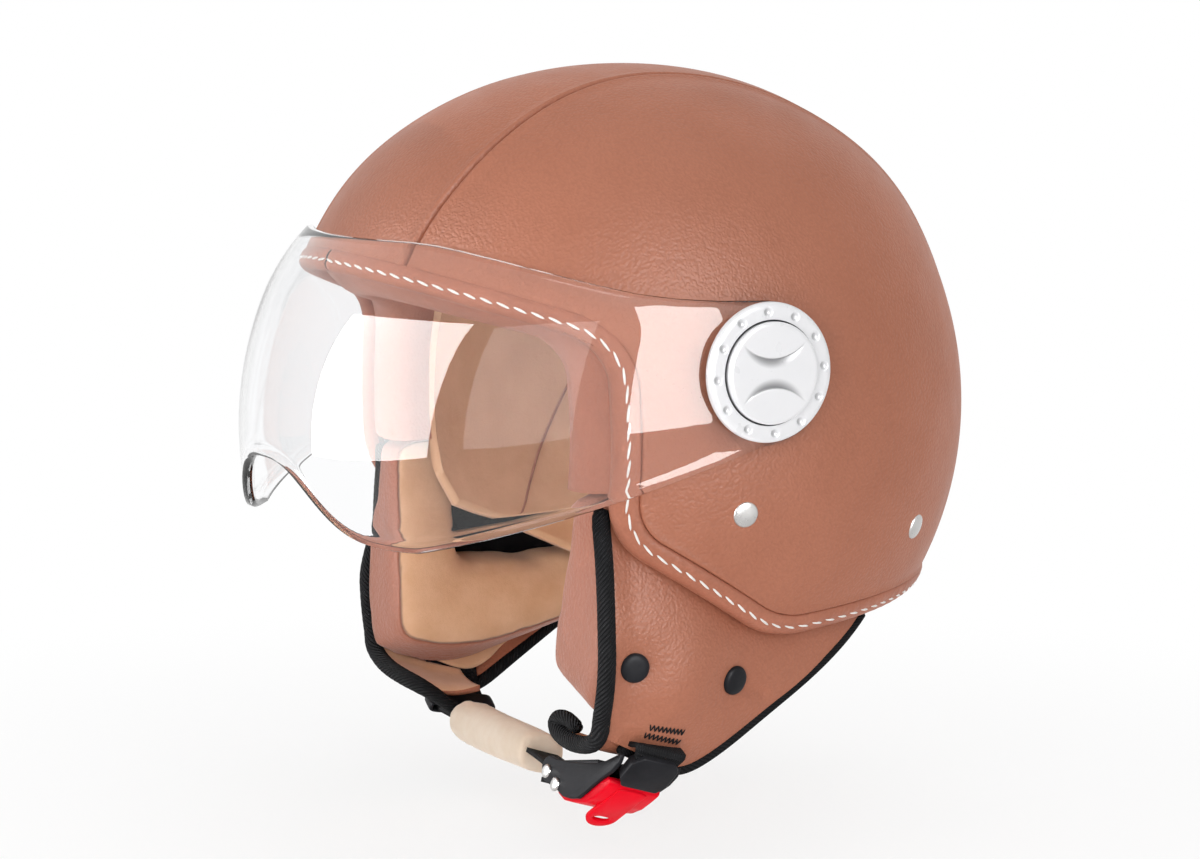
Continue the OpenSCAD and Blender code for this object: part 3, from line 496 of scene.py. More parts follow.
def rimHalf(d, depth):
    # the left half of the rim line, from the brow's middle to the nape's
    sides = rimSides(d)
    bend = [rim["temple"] + d, rim["jaw"] - d, rim["ear"] - d]
    start = leaves(sides[0], dome["r"] - depth, -1)
    parts = []
    for k in range(3):
        c, (u, v) = meet(sides[k], sides[k + 1]), (sides[k][1], sides[k + 1][1])
        turn = math.atan2(u.cross(v), u.dot(v))
        arm = -leftOf(u) * math.copysign(bend[k], turn)
        first = c - u * bend[k] * math.tan(abs(turn) / 2)
        parts.append([start, first])
        arc = []
        for i in range(rim["arcSteps"] + 1):
            gone = turn * i / rim["arcSteps"]
            s, q = math.sin(gone), math.cos(gone)
            arc.append(first - arm + Vector((arm.x * q - arm.y * s, arm.x * s + arm.y * q)))
        parts.append(arc)
        start = arc[-1]
    parts.append([start, leaves(sides[3], dome["r"] - depth, 1)])
    line = []
    for k, part in enumerate(parts):
        if len(part) == 2:
            a, b = part
            part = [a.lerp(b, crowded(i / rim["sideSteps"], k, len(parts) - 1))
                    for i in range(rim["sideSteps"] + 1)]
        solid = [Vector((domeX(p.x, p.y, depth), p.x, p.y)) for p in part]
        line += spaced(solid, rim["counts"][k] + 1)[1 if k else 0:]
    return line


def rimLoop(d, depth):
    half = rimHalf(d, depth)
    return half + flipped(reversed(half))[1:]


# leather cover
cover = {"seamTop": 30.5, "seamEnds": 12.5, "tuck": 4.0, "groove": 2.0, "grooveW": 0.7, "swell": 0.6,
         "swellAt": 1.9, "swellW": 1.0, "steps": [0, 0.15, 0.3, 0.5, 0.75, 1.1, 1.7, 2.6, 4],
         "seamSpan": 48, "rows": 44, "along": 180, "across": 12}


def onDome(phi, way, depth):
    return Vector(((dome["w"] - depth) * math.cos(phi),
                   dome["y"] + (dome["r"] - depth) * math.sin(phi) * way.x,
                   dome["z"] + (dome["r"] - depth) * math.sin(phi) * way.y))


def seamAt(t):
    # half width of the centre strip, narrowest on the crown
    return cover["seamTop"] + cover["seamEnds"] * smooth(abs(math.degrees(t) - 90) / cover["seamSpan"])


def sink(gone):
    # groove at a panel's edge, with the turned leather swelling beside it
    s = cover
    return s["groove"] * gauss(gone, s["grooveW"]) - s["swell"] * gauss(gone - s["swellAt"], s["swellW"])


def stripEnds(ring, tuck):
    sides = rimSides(tuck)
    a, b = leaves(sides[0], ring, -1), leaves(sides[3], ring, 1)
    return math.atan2(a.y - dome["z"], a.x - dome["y"]), math.atan2(b.y - dome["z"], b.x - dome["y"])


def stripPoint(offset, share, tuck, depth):
    # a point of the centre strip: offset is a side and the way in from its seam, or a share of the
    # strip's half width and None; share is the part of the way from brow to nape
    side, gone = offset
    inwards = cover["steps"][-1] if gone is None else gone
    t = math.radians(90)
    for k in range(4):
        phi = math.acos(side * (seamAt(t) - inwards) / dome["w"])
        t = mix(*stripEnds(dome["r"] * math.sin(phi), tuck), share)
    return onDome(phi, Vector((math.cos(t), math.sin(t))), depth)


def sidePanel():
    s = cover
    line = [p for p in rimHalf(s["tuck"], 0)
            if p.x > seamAt(math.atan2(p.z - dome["z"], p.y - dome["y"]))]
    arc = [stripPoint((1, 0), 1 - i / s["along"], s["tuck"], 0) for i in range(s["along"] + 1)]
    edge = line + arc + [line[0]]
    steps = s["steps"]
    rows = []
    for k in range(len(steps) + s["rows"]):
        row = []
        for p in edge:
            way = Vector((p.y - dome["y"], p.z - dome["z"]))
            phi = math.asin(min(1, way.length / dome["r"]))
            arcLength = dome["r"] * phi
            share = (k - len(steps) + 1) / s["rows"]
            gone = steps[k] if k < len(steps) else mix(steps[-1], arcLength, share)
            row.append(settled(onDome(phi * (1 - gone / arcLength), way.normalized(), sink(gone))))
        rows.append(row)
    return skin("leatherLeftPanel", rows, "leather")


def centrePanel():
    s = cover
    steps, half = s["steps"], s["across"]
    across = [(-1, g) for g in steps] + [(k / half, None) for k in range(1 - half, half)]
    across += [(1, g) for g in reversed(steps)]
    rows = []
    for i in range(s["along"] + 1):
        rows.append([settled(stripPoint(c, i / s["along"], s["tuck"], 0 if c[1] is None else sink(c[1])))
                     for c in across])
    return skin("leatherCentrePanel", rows, "leather")


leftPanel = sidePanel()
dress(mirrored(leftPanel, "leatherRightPanel"), "leather", "leather_right_panel")
dress(leftPanel, "leather", "leather_left_panel")
dress(centrePanel(), "leather", "leather_centre_panel")


def seamStitches():
    s = {"off": 2.0, "pitch": 3.4, "length": 2.3, "r": 0.2, "tuck": 7.0, "depth": -0.3,
         "fine": 300, "per": 6}
    pairs = []
    for side in (1, -1):
        for gone in (s["off"], -s["off"]):
            line = [settled(stripPoint((side, gone), k / s["fine"], s["tuck"], s["depth"]))
                    for k in range(s["fine"] + 1)]
            line = spaced(line, 2 * s["fine"] + 1)
            count = int(runningLength(line)[-1] / s["pitch"])
            line = spaced(line, count * s["per"] + 1)
            run = round(s["per"] * s["length"] / s["pitch"])
            pairs += [(line[k], line[k + run], domeNormal(line[k]))
                      for k in range(0, count * s["per"] - run, s["per"])]
    return stitches("seamStitching", pairs, "tan", s["r"])


dress(seamStitches(), "leather", body="helmet")


# rolled binding and its stitching
bindingRoll = {"section": [(4.9, 1.2), (4.7, 0.2), (4.2, -0.5), (3.2, -1.0), (1.9, -1.25), (0.9, -1.2),
                           (0.2, -0.95), (-0.6, -0.95), (-1.6, -0.75), (-2.6, -0.1), (-3.4, 1.2),
                           (-3.6, 2.8), (-3.2, 4.6), (-2.0, 6.2), (0.6, 7.2)],
               "pitch": 6.5, "stitch": 5.85, "slant": 0.5, "thread": 0.5, "threadDepth": -1.1,
               "pucker": 0.22, "puckerW": 2.2, "per": 10}


def rollBinding():
    s = bindingRoll
    rows = []
    for d, depth in s["section"]:
        loop = rimLoop(d, depth)
        sums = 0.0
        for i in range(1, len(loop)):
            sums += (loop[i] - loop[i - 1]).length
            pull = s["pucker"] * gauss(d, s["puckerW"]) * math.cos(2 * math.pi * sums / s["pitch"])
            loop[i] = settled(loop[i] - domeNormal(loop[i]) * pull)
        rows.append(loop)
    return skin("edgeBinding", rows, "trim")


def bindingStitches():
    s = bindingRoll
    low, high = rimHalf(-s["slant"], s["threadDepth"]), rimHalf(s["slant"], s["threadDepth"])
    count = int(runningLength(low)[-1] / s["pitch"])
    low, high = spaced(low, count * s["per"] + 1), spaced(high, count * s["per"] + 1)
    run = round(s["stitch"] / s["pitch"] * s["per"])
    pairs = []
    for side in (1, -1):
        for i in range(1, count * s["per"] - run, s["per"]):
            a, b = settled(high[i]), settled(low[i + run])
            a.x, b.x = a.x * side, b.x * side
            pairs.append((a, b, domeNormal(a)))
    return stitches("bindingStitching", pairs, "white", s["thread"])


dress(rollBinding(), "leather", "edge_binding")
dress(bindingStitches(), "leather", body="helmet")


# moulded shell under the cover
def shellSheet():
    # outer and inner skin from the rim to the side pole, one closed half each side
    s = {"inset": 6, "outer": 2.2, "inner": 4.6, "rows": 30, "arc": 160}
    line = rimHalf(s["inset"], s["outer"])
    r = dome["r"] - s["outer"]
    a0, a1 = [math.atan2(p.z - dome["z"], p.y - dome["y"]) for p in (line[-1], line[0])]
    ways = [Vector((p.y - dome["y"], p.z - dome["z"])) for p in line]
    for i in range(1, s["arc"] + 1):
        a = mix(a0, a1, i / s["arc"])
        ways.append(Vector((math.cos(a), math.sin(a))) * r)
    rows = []
    for depth, steps in ((s["outer"], range(s["rows"], -1, -1)), (s["inner"], range(s["rows"] + 1))):
        for k in steps:
            rows.append([settled(onDome(math.asin(min(1, w.length / r)) * (1 - k / s["rows"]),
                                        w.normalized(), depth)) for w in ways])
    bm = gridMesh(rows)
    gridMesh([flipped(row) for row in rows], bm)
    return newPiece("outerShell", bm, "plastic", 1e-5)


dress(shellSheet(), "shell", "outer_shell")


# padded trim round the face and at the nape
def faceTrim():
    s = {"section": [(0.8, 7.2), (-1.2, 8.4), (-2.4, 10.4), (-4.2, 13.8), (-6, 18), (-7, 23), (-6, 28.5),
                     (-2, 33.5), (4, 36.4), (9, 37.7), (14.5, 38)], "side": 0.8, "foot": -44, "ripple": 0.5,
         "rippleSize": 14}
    last = next(i for i, p in enumerate(rimHalf(0, 7)) if p.z < s["foot"] and p.y < 0)
    brow, temple = rim["counts"][0], rim["counts"][1]
    rows = []
    for d, depth in s["section"]:
        plain, full = rimHalf(min(d, 0) * s["side"] + max(d, 0), depth), rimHalf(d, depth)
        half = []
        for i in range(last + 1):
            f = smooth((i - brow * 0.55) / (brow * 0.45 + temple))
            half.append(full[i].lerp(plain[i], f))
        row = []
        for p in flipped(reversed(half))[:-1] + half:
            ripple = s["ripple"] * noise.noise(Vector([c / s["rippleSize"] for c in p]))
            row.append(p + domeNormal(p) * ripple)
        rows.append(row)
    return skin("faceTrim", rows, "trim")


def napeRoll():
    s = {"section": [(1.4, 7.1), (-1.5, 8.4), (-3.2, 12.5), (-3.4, 19), (-1.8, 27), (2.6, 34), (8, 37),
                     (14, 38)], "from": 75}
    first = next(i for i, p in enumerate(rimHalf(0, 7)) if p.y > s["from"])
    rows = []
    for d, depth in s["section"]:
        half = rimHalf(d, depth)[first:]
        rows.append(half + flipped(reversed(half))[1:])
    return skin("napeLining", rows, "trim")


dress(faceTrim(), "leather", "face_trim")
dress(napeRoll(), "leather", "nape_lining")


# suede lining of the crown, cut short above the cheek pads
lining = {"w": 79, "r": 96, "inset": 13, "skirt": [(-28, -69), (2, -81.5), (27.5, -93.5), (38, -91)],
          "front": -58, "rear": 46, "hem": [(1.07, 5.0), (1.045, -0.4), (1.015, -1.2)],
          "seams": [(44, 2), (38, -9), (26.8, -30), (13, -55), (0.5, -80)], "ripple": 0.010,
          "rippleSize": 30, "welt": 0.012, "weltX": 42, "weltW": 2.2, "steps": 30, "rows": 60, "crowd": 1.3}


def liningX(y, z):
    k = 1 - ((y - dome["y"]) ** 2 + (z - dome["z"]) ** 2) / lining["r"] ** 2
    return lining["w"] * math.sqrt(max(0, k))


def liningCup():
    s = lining
    centre = Vector((0, dome["y"], dome["z"]))
    sides = rimSides(s["inset"])
    front, corner = leaves(sides[0], s["r"], -1), meet(sides[0], sides[1])
    rear = leaves(sides[3], s["r"], 1)
    low = sides[3][0] + sides[3][1] * ((s["rear"] - sides[3][0].x) / sides[3][1].x)
    flat = [front, corner, Vector((corner.x, s["front"]))] + [Vector(p) for p in s["skirt"]] + [low, rear]
    half = []
    for k, (a, b) in enumerate(zip(flat, flat[1:])):
        for i in range(s["steps"]):
            p = a.lerp(b, crowded(i / s["steps"], k, len(flat) - 2))
            half.append(Vector((liningX(p.x, p.y), p.x, p.y)))
    half.append(Vector((0, rear.x, rear.y)))
    edge = half + flipped(reversed(half))[1:]
    size = Vector((s["w"], s["r"], s["r"]))
    top = Vector((0, 0, 1))
    rows = [[centre + (p - centre) * grow + top * rise for p in edge] for grow, rise in s["hem"]]
    for k in range(s["rows"] + 1):
        row = []
        for p in edge:
            q = Vector([(a - b) / c for a, b, c in zip(p, centre, size)]).normalized()
            q = q.slerp(top, (k / s["rows"]) ** s["crowd"]) if k < s["rows"] else top
            out = Vector([a * b for a, b in zip(q, size)])
            soft = s["ripple"] * noise.noise(out / s["rippleSize"])
            soft += s["welt"] * gauss(abs(out.x) - s["weltX"], s["weltW"])
            row.append(centre + out * (1 + soft))
        rows.append(row)
    return skin("crownLining", rows, "suede")


def liningSeams():
    # the sewn line that crosses each side of the lining
    def onLining(side, y, z):
        return Vector((side * (liningX(y, z) - 0.2), y, z))
    bm = bmesh.new()
    for side in (1, -1):
        path = spaced([onLining(side, y, z) for y, z in lining["seams"]], 40)
        path = spaced(curved([onLining(side, p.y, p.z) for p in path], 2), 70)
        gridMesh(tube(path, lambda i: circle(0.55, 8), (1, 0, 0)), bm)
    return newPiece("liningSeams", bm, "tan")


dress(liningCup(), "suede", "crown_lining", "left_lining", "right_lining")
dress(liningSeams(), "suede", body="helmet")
print("cover, binding, trim and lining made")


# ear flaps
flap = {"gap": 1.15, "belly": 5, "fall": 21, "tuckZ": -100, "tuck": 140, "front": -50, "frontZ": -133,
        "rear": 72, "tipSlope": 0.5, "rearSlope": 0.618, "lap": 5.5, "t": 3.0, "pipe": 3.3, "tape": 4.2}


def rimAt(y):
    return softMax(rim["jawZ"] - (y - rim["cheekY"]) * math.tan(math.radians(rim["jawSlope"])),
                   rim["lowZ"] + (y - earY) * math.tan(math.radians(rim["napeRise"])))


def flapX(y, z):
    # the flap hangs from the rim, bellies out and tucks in towards the chin
    s = max(y, -40)
    base = domeX(s, rimAt(s), 7.0) - flap["gap"]
    belly = flap["belly"] * (1 - math.exp(-max(0, rimAt(y) - z) / flap["fall"]))
    return base + belly - max(0, flap["tuckZ"] - z) ** 2 / flap["tuck"]


def flapBottom(y):
    return softMax(flap["frontZ"] - flap["tipSlope"] * (y - flap["front"]),
                   rim["lowZ"] - 1.4 - flap["rearSlope"] * (flap["rear"] - y))


def flapOut(y, z):
    return Vector((2, flapX(y - 1, z) - flapX(y + 1, z), flapX(y, z - 1) - flapX(y, z + 1))).normalized()


flapForm = {"columns": 90, "rows": 50, "wave": 0.5, "studs": [(-39, -107), (4, -116)], "pit": 1.9,
            "pitW": 9, "fold": [(6, -118), (19, -123)], "foldDeep": 1.5, "foldW": 2.4,
            "slot": [(-38, -134.4), (-16, -141)], "slotRise": 0.9, "slotOff": 4.5, "slotW": 3.5, "free": 12,
            "swells": [(-18, -109, 15, 1.6), (-22, -124, 12, 1.5), (26, -110, 12, 1.2),
                       (-44, -90, 14, 0.8)]}


def awayFrom(y, z, ends):
    a, b, p = Vector(ends[0]), Vector(ends[1]), Vector((y, z))
    t = max(0, min(1, (p - a).dot(b - a) / (b - a).length_squared))
    return (p - a.lerp(b, t)).length


def flapDent(y, z):
    # the filling stands up between the studs and is pulled in at them
    s = flapForm
    d = s["wave"] * noise.noise(Vector((y / 24, z / 20, 3.1)))
    for a, b, w, h in s["swells"]:
        d += h * gauss(math.hypot(y - a, z - b), w)
    for a, b in s["studs"]:
        d -= s["pit"] * gauss(math.hypot(y - a, z - b), s["pitW"])
    d -= s["foldDeep"] * gauss(awayFrom(y, z, s["fold"]), s["foldW"])
    d += s["slotRise"] * gauss(awayFrom(y, z, s["slot"]) - s["slotOff"], s["slotW"])
    return d * smooth((rimAt(y) - z) / s["free"])


def earFlap():
    s = flapForm

    def pointAt(v, u):
        y = mix(flap["front"] + 2.6, flap["rear"], u)
        z = mix(flapBottom(y) + 1.0, rimAt(y) + flap["lap"], v)
        return Vector((flapX(y, z) + flapDent(y, z), y, z))
    obj = skin("leftEarFlap", sheetRows(s["rows"], s["columns"], pointAt), "leather")
    return rounded(thicken(obj, flap["t"]), 0.5)


def flapLining():
    s = {"front": -45.8, "rear": 24, "top": -119, "pocket": 3.2, "ripple": 0.2, "rippleSize": 9, "gap": 0.4,
         "t": 1.2, "hem": 7, "pocketIn": 6, "pocketEnd": 5, "pocketOut": 11}

    def pointAt(v, u):
        y = mix(s["front"], s["rear"], u)
        z = mix(flapBottom(y) + s["hem"], s["top"], v)
        pocket = s["pocket"] * smooth((y - s["front"]) / s["pocketIn"])
        pocket *= smooth((s["pocketEnd"] - y) / s["pocketOut"])
        ripple = s["ripple"] * noise.noise(Vector((y / s["rippleSize"], z / s["rippleSize"], 0.4)))
        return Vector((flapX(y, z) - flap["t"] - s["gap"] - pocket + ripple, y, z))
    return thicken(skin("leftFlapLining", sheetRows(16, 48, pointAt), "suede"), s["t"])


# the lower ends of the piping: curled back on the left, running on along the strap on the right
hooks = {"left": [(96.5, -50, -131), (91, -49.5, -135.4), (83, -49, -137.8), (73.5, -48.6, -138.8),
                  (64, -47.5, -138.6), (58, -46.8, -137.2), (55.8, -46.4, -134.8), (58, -46.2, -132.6),
                  (63.5, -46, -132), (69, -46, -133), (73, -46, -134.4)],
         "right": [(96.5, -50, -131), (91, -49.5, -135.4), (83, -49, -138), (74, -47.5, -140),
                   (67.5, -44, -142.5), (64, -39, -146), (62.5, -34, -150), (62, -30, -153)]}


def pipingPath(side):
    s = {"top": -49, "low": -125, "steps": 23, "back": 5, "backFrom": -106, "backOver": 28}
    path = []
    for i in range(s["steps"] + 1):
        z = mix(s["top"], s["low"], i / s["steps"])
        back = s["back"] * smooth((z - s["backFrom"]) / s["backOver"])
        y = flap["front"] + (back if side == "right" else 0)
        path.append(Vector((flapX(y, z) - flap["t"] / 2, y, z)))
    return spaced(curved(path + [Vector(p) for p in hooks[side]], 6), 150)


def flapTab(side):
    # the lower corner of the flap, turned in under the pad; suede inside
    s = {"rear": [(87, -17, -143.5), (82, -17, -146), (74, -17, -147.4), (66, -17.5, -147)], "t": 2.2,
         "sag": 1.2}
    lines = [[Vector(p) for p in line] for line in (hooks[side][:6], s["rear"])]
    front, rear = [spaced(curved(line, 6), 25) for line in lines]
    rows = []
    for j in range(21):
        sag = Vector((0, 0, s["sag"] * math.sin(math.pi * j / 20)))
        rows.append([a.lerp(b, j / 20) - sag for a, b in zip(front, rear)])
    obj = skin("leftFlapTab", rows, "leather")
    obj.data.materials.append(looks["suede"])
    if sum(p.normal.z for p in obj.data.polygons) > 0:
        obj.data.flip_normals()
    edge = thicken(obj, s["t"]).modifiers["thickness"]
    edge.material_offset = edge.material_offset_rim = 1
    return obj


def piping(side):
    s = {"taper": 0.22, "taperOver": 26, "wave": 0.012, "waveTurn": 1.9, "nearEnd": 0.85}
    path = pipingPath(side)
    last = len(path) - 1

    def section(i):
        end = min(i, last - i)
        closed = 1 if end > 2 else s["nearEnd"] if end > 0 else 0.001
        taper = 1 - s["taper"] * smooth((i - last + s["taperOver"]) / s["taperOver"])
        wave = 1 + s["wave"] * math.sin(i * s["waveTurn"])
        return circle(flap["pipe"] * closed * taper * wave, 24)
    return skin("leftFlapPiping", tube(path, section), "twill")


def edgeTape():
    s = {"start": 9.5, "steps": 90, "square": 0.7, "over": 0.7, "slim": 0.82, "full": 0.45, "fullAt": 30,
         "fullW": 22}
    path = []
    for i in range(s["steps"] + 1):
        y = mix(flap["front"] + s["start"], flap["rear"], i / s["steps"])
        z = flapBottom(y)
        path.append(Vector((flapX(y, z) - flap["t"] / 2, y, z)))

    def section(i):
        size = 1 if 0 < i < s["steps"] else 0.001
        half = flap["tape"] / 2 * size * (s["slim"] + s["full"] * gauss(i - s["fullAt"], s["fullW"]))
        thin = (flap["t"] / 2 + s["over"]) * size
        return [(squared(c, s["square"]) * half, squared(q, s["square"]) * thin) for c, q in circle(1, 16)]
    return skin("leftFlapBinding", tube(path, section, (1, 0, 0)), "twill")


def pair(left, right, slot, *nodes):
    # a left piece and a right one, mirrored from the same piece or from one of its own
    other = mirrored(right or left, left.name.replace("left", "right"))
    if right:
        bpy.data.objects.remove(right)
    for obj, side in ((left, "left"), (other, "right")):
        dress(obj, slot, *[side + n for n in nodes], body="helmet")
    return left, other


pair(earFlap(), None, "leather", "_ear_flap")
pair(flapLining(), None, "suede", "_flap_lining")
pair(edgeTape(), None, "webbing", "_flap_binding")
pair(piping("left"), piping("right"), "webbing", "_flap_piping")
pair(flapTab("left"), flapTab("right"), "leather")
print("flaps made")


# cheek pads, filled by a short cloth run
pad = {"front": -53.5, "rear": 44, "top": -46, "bottom": -126, "earY": 0, "earZ": -80, "slope": 0.06,
       "slopeFrom": -124, "slopeOver": 40, "inner": 65, "lean": 11, "leanFrom": -110, "leanOver": 56,
       "square": 14, "gap": 1.2,
       "ear": [(-180, 24.5), (-150.5, 26.4), (-120, 17), (-90, 15), (-44, 20.9), (-21, 33.2), (9.5, 30.4),
               (42, 27), (90, 20), (138, 27), (158, 27), (180, 24.5)],
       "section": [(0.03, 0), (0.2, 0), (0.4, 0), (0.6, 0), (0.8, 0), (0.95, 0.01), (0.99, 0.04), (1, 0.12),
                   (1, 0.3), (1, 0.5), (1, 0.65), (0.998, 0.78), (0.99, 0.88), (0.972, 0.95), (0.94, 0.985),
                   (0.88, 1), (0.78, 1.005), (0.64, 1.01), (0.5, 1.01), (0.36, 1), (0.22, 0.97), (0.1, 0.9),
                   (0.03, 0.75), (0.0, 0.45), (0.0, 0.2)],
       "seamRow": 13, "voxel": 3.6, "pressure": 4.0, "cap": 1.8, "heldFrom": 88}
padHang = {"face": 2.2, "faceRise": 5, "faceY": -22, "faceSpan": 32, "outer": 14.4, "outerY": -21,
           "frontRise": 9.4, "frontSpan": 36, "rearSpan": 44, "under": 0.55, "faceMost": 1.3,
           "rearMost": 1.2, "bend": 1.5, "cornerFrom": 12, "cornerOver": 34, "turnIn": 0.55, "turnFrom": 20,
           "turnOver": 30}
clothRun = {"quality": 5, "mass": 0.15, "tension_stiffness": 12, "compression_stiffness": 12,
            "shear_stiffness": 5, "bending_stiffness": 0.4, "use_pressure": True}


def reach(a, left, right, up, down, e):
    c, q = math.cos(a), math.sin(a)
    wide, high = abs(c) / (left if c < 0 else right), abs(q) / (down if q < 0 else up)
    return (wide ** e + high ** e) ** (-1 / e)


def earReach(a):
    turn = (math.degrees(a) + 180) % 360 - 180
    for (a0, r0), (a1, r1) in zip(pad["ear"], pad["ear"][1:]):
        if turn <= a1:
            return mix(r0, r1, smooth((turn - a0) / (a1 - a0)))
    return pad["ear"][-1][1]


def padBack(y, z):
    return flapX(y, max(z, flapBottom(y) + 6)) - flap["t"] - pad["gap"]


def padPoint(a, s, t, corner):
    # a turns round the ear, s runs from the ear opening out to the edge, t from the flap to the face
    p, h = pad, padHang
    edge = reach(a, p["earY"] - p["front"], p["rear"] - p["earY"], p["top"] - p["earZ"],
                 p["earZ"] - p["bottom"], p["square"])
    r = mix(earReach(a), max(edge, earReach(a) + 6), s)
    y, z = p["earY"] + r * math.cos(a), p["earZ"] + r * math.sin(a)
    # the lower edge hangs lowest near the strap, more so on the flap's side
    under = smooth(-math.sin(a) / h["under"]) * s
    off = min(h["faceMost"], abs(y - h["faceY"]) / h["faceSpan"])
    face = h["face"] - h["faceRise"] * off ** h["bend"]
    past = y - h["outerY"]
    if past < 0:
        rise = h["frontRise"] * (abs(past) / h["frontSpan"]) ** h["bend"]
    else:
        rise = h["outer"] * min(h["rearMost"], past / h["rearSpan"]) ** h["bend"]
    lift = corner * smooth((-y - h["cornerFrom"]) / h["cornerOver"]) * (0.75 + 0.25 * t)
    z += under * (lift - mix(h["outer"] - rise, face, t))
    y += p["slope"] * max(0, z - p["slopeFrom"]) * smooth(-y / p["slopeOver"])
    front = p["inner"] + p["lean"] * max(0, (z - p["leanFrom"]) / p["leanOver"])
    front -= h["turnIn"] * corner * smooth((-y - h["turnFrom"]) / h["turnOver"])
    return Vector((mix(padBack(y, z), front, t), y, z))


def earCloth():
    # dark cloth that closes the ear opening towards the flap
    s = {"grow": 1.1, "behind": 1.5, "ripple": 0.3, "rippleSize": 6, "t": 0.8}

    def pointAt(v, u):
        a = 2 * math.pi * u
        r = earReach(a) * s["grow"] * v
        y, z = pad["earY"] + r * math.cos(a), pad["earZ"] + r * math.sin(a)
        ripple = s["ripple"] * noise.noise(Vector((y / s["rippleSize"], z / s["rippleSize"], 1)))
        return Vector((padBack(y, z) - s["behind"] + ripple, y, z))
    return thicken(skin("leftEarCloth", sheetRows(8, 60, pointAt), "foam"), s["t"])


def fill(obj, voxel, pressure, cap, hold):
    # voxel skin, then cloth under pressure, with each point's way kept short
    mod = obj.modifiers.new("voxels", "REMESH")
    mod.mode = "VOXEL"
    mod.voxel_size = voxel * mm
    graph = bpy.context.evaluated_depsgraph_get()
    mesh = bpy.data.meshes.new_from_object(obj.evaluated_get(graph))
    obj.modifiers.clear()
    obj.data = mesh
    group = obj.vertex_groups.new(name="held")
    for v in mesh.vertices:
        group.add([v.index], hold(v.co / mm), "REPLACE")
    start = [v.co.copy() for v in mesh.vertices]
    cloth = obj.modifiers.new("cloth", "CLOTH").settings
    for key, value in clothRun.items():
        setattr(cloth, key, value)
    cloth.uniform_pressure_force = pressure
    cloth.effector_weights.gravity = 0
    cloth.vertex_group_mass = "held"
    for k in range(1, 21):
        scene.frame_set(k)
    graph = bpy.context.evaluated_depsgraph_get()
    moved = [v.co.copy() for v in obj.evaluated_get(graph).data.vertices]
    obj.modifiers.clear()
    scene.frame_set(1)
    for v, a, b in zip(mesh.vertices, start, moved):
        step = b - a
        if step.length > cap * mm:
            step = step.normalized() * cap * mm
        v.co = a + step
    for poly in mesh.polygons:
        poly.use_smooth = True
    sub = obj.modifiers.new("softer", "SUBSURF")
    sub.levels = sub.render_levels = 1
    return obj


def cheekPad(name, corner):
    p = pad
    turns = 120
    ring = [2 * math.pi * i / turns for i in range(turns + 1)]
    section = p["section"] + p["section"][:1]
    rows = [[padPoint(a, s, t, corner) for a in ring] for s, t in section]
    obj = skin(name, rows, "pad")
    tree = kdtree.KDTree(len(rows) * len(ring))
    marks = []
    for j, row in enumerate(rows[:-1]):
        for q in row:
            tree.insert(q, len(marks))
            marks.append(max(0.0, min(1.0, 0.5 + (p["seamRow"] - j) / 8)) if j > 4 else 1.0)
    tree.balance()
    fill(obj, p["voxel"], p["pressure"], p["cap"], lambda q: 1.0 if q.x > p["heldFrom"] else 0.0)
    side = obj.data.attributes.new("leatherSide", "FLOAT", "POINT")
    for v in obj.data.vertices:
        near = [(marks[k], 1 / (0.3 + d) ** 2) for q, k, d in tree.find_n(v.co / mm, 8)]
        total = sum(weight for mark, weight in near)
        side.data[v.index].value = sum(mark * weight for mark, weight in near) / total
    return obj


for piece in pair(cheekPad("leftCheekPad", 9), cheekPad("sparePad", 0), "suede", "_cheek_pad"):
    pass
pair(earCloth(), None, "foam")
print("cheek pads filled")


# studs and rivets, turned
def spun(bm, profile, place, steps=40):
    # profile of (radius, height) pairs turned about the place's own z axis
    made = [bm.verts.new((r * mm, 0, h * mm)) for r, h in profile]
    edges = [bm.edges.new(ends) for ends in zip(made, made[1:])]
    bmesh.ops.spin(bm, geom=made + edges, cent=(0, 0, 0), axis=(0, 0, 1), angle=2 * math.pi, steps=steps,
                   use_merge=True)
    bmesh.ops.transform(bm, matrix=place, verts=[v for v in bm.verts if not v.tag])
    for v in bm.verts:
        v.tag = True


def facing(point, out):
    z = out.normalized()
    x = z.cross(Vector((0, 0, 1))).normalized()
    return Matrix.Translation(point * mm) @ Matrix((x, z.cross(x), z)).transposed().to_4x4()


def pressStuds():
    r = 5.5
    profile = [(0, 2.5), (1.4, 2.5), (2.8, 2.46), (3.9, 2.34), (4.6, 2.1), (5.1, 1.7), (r - 0.1, 1.2),
               (r, 0.7), (r - 0.1, 0.2), (r - 0.3, -0.6)]
    bm = bmesh.new()
    for y, z in flapForm["studs"]:
        for side in (1, -1):
            out, at = flapOut(y, z), Vector((flapX(y, z) + flapDent(y, z) + 0.2, y, z))
            out.x, at.x = out.x * side, at.x * side
            spun(bm, profile, facing(at, out))
    return newPiece("pressStuds", bm, "plastic")


def strapRivets():
    r = 4.8
    profile = [(0, 1.15), (1.4, 1.13), (2.6, 1.05), (3.4, 0.92), (4.0, 0.74), (4.4, 0.55), (r - 0.15, 0.3),
               (r, 0.05), (r, -0.5)]
    bm = bmesh.new()
    for y, z in ((-3, -52), (84, -66)):
        for side in (1, -1):
            at = Vector((domeX(y, z) * side, y, z))
            spun(bm, profile, facing(at, domeNormal(at)))
    return newPiece("strapRivets", bm, "steel")


dress(pressStuds(), "black_plastic", "press_studs")
dress(strapRivets(), "steel", "strap_rivets")


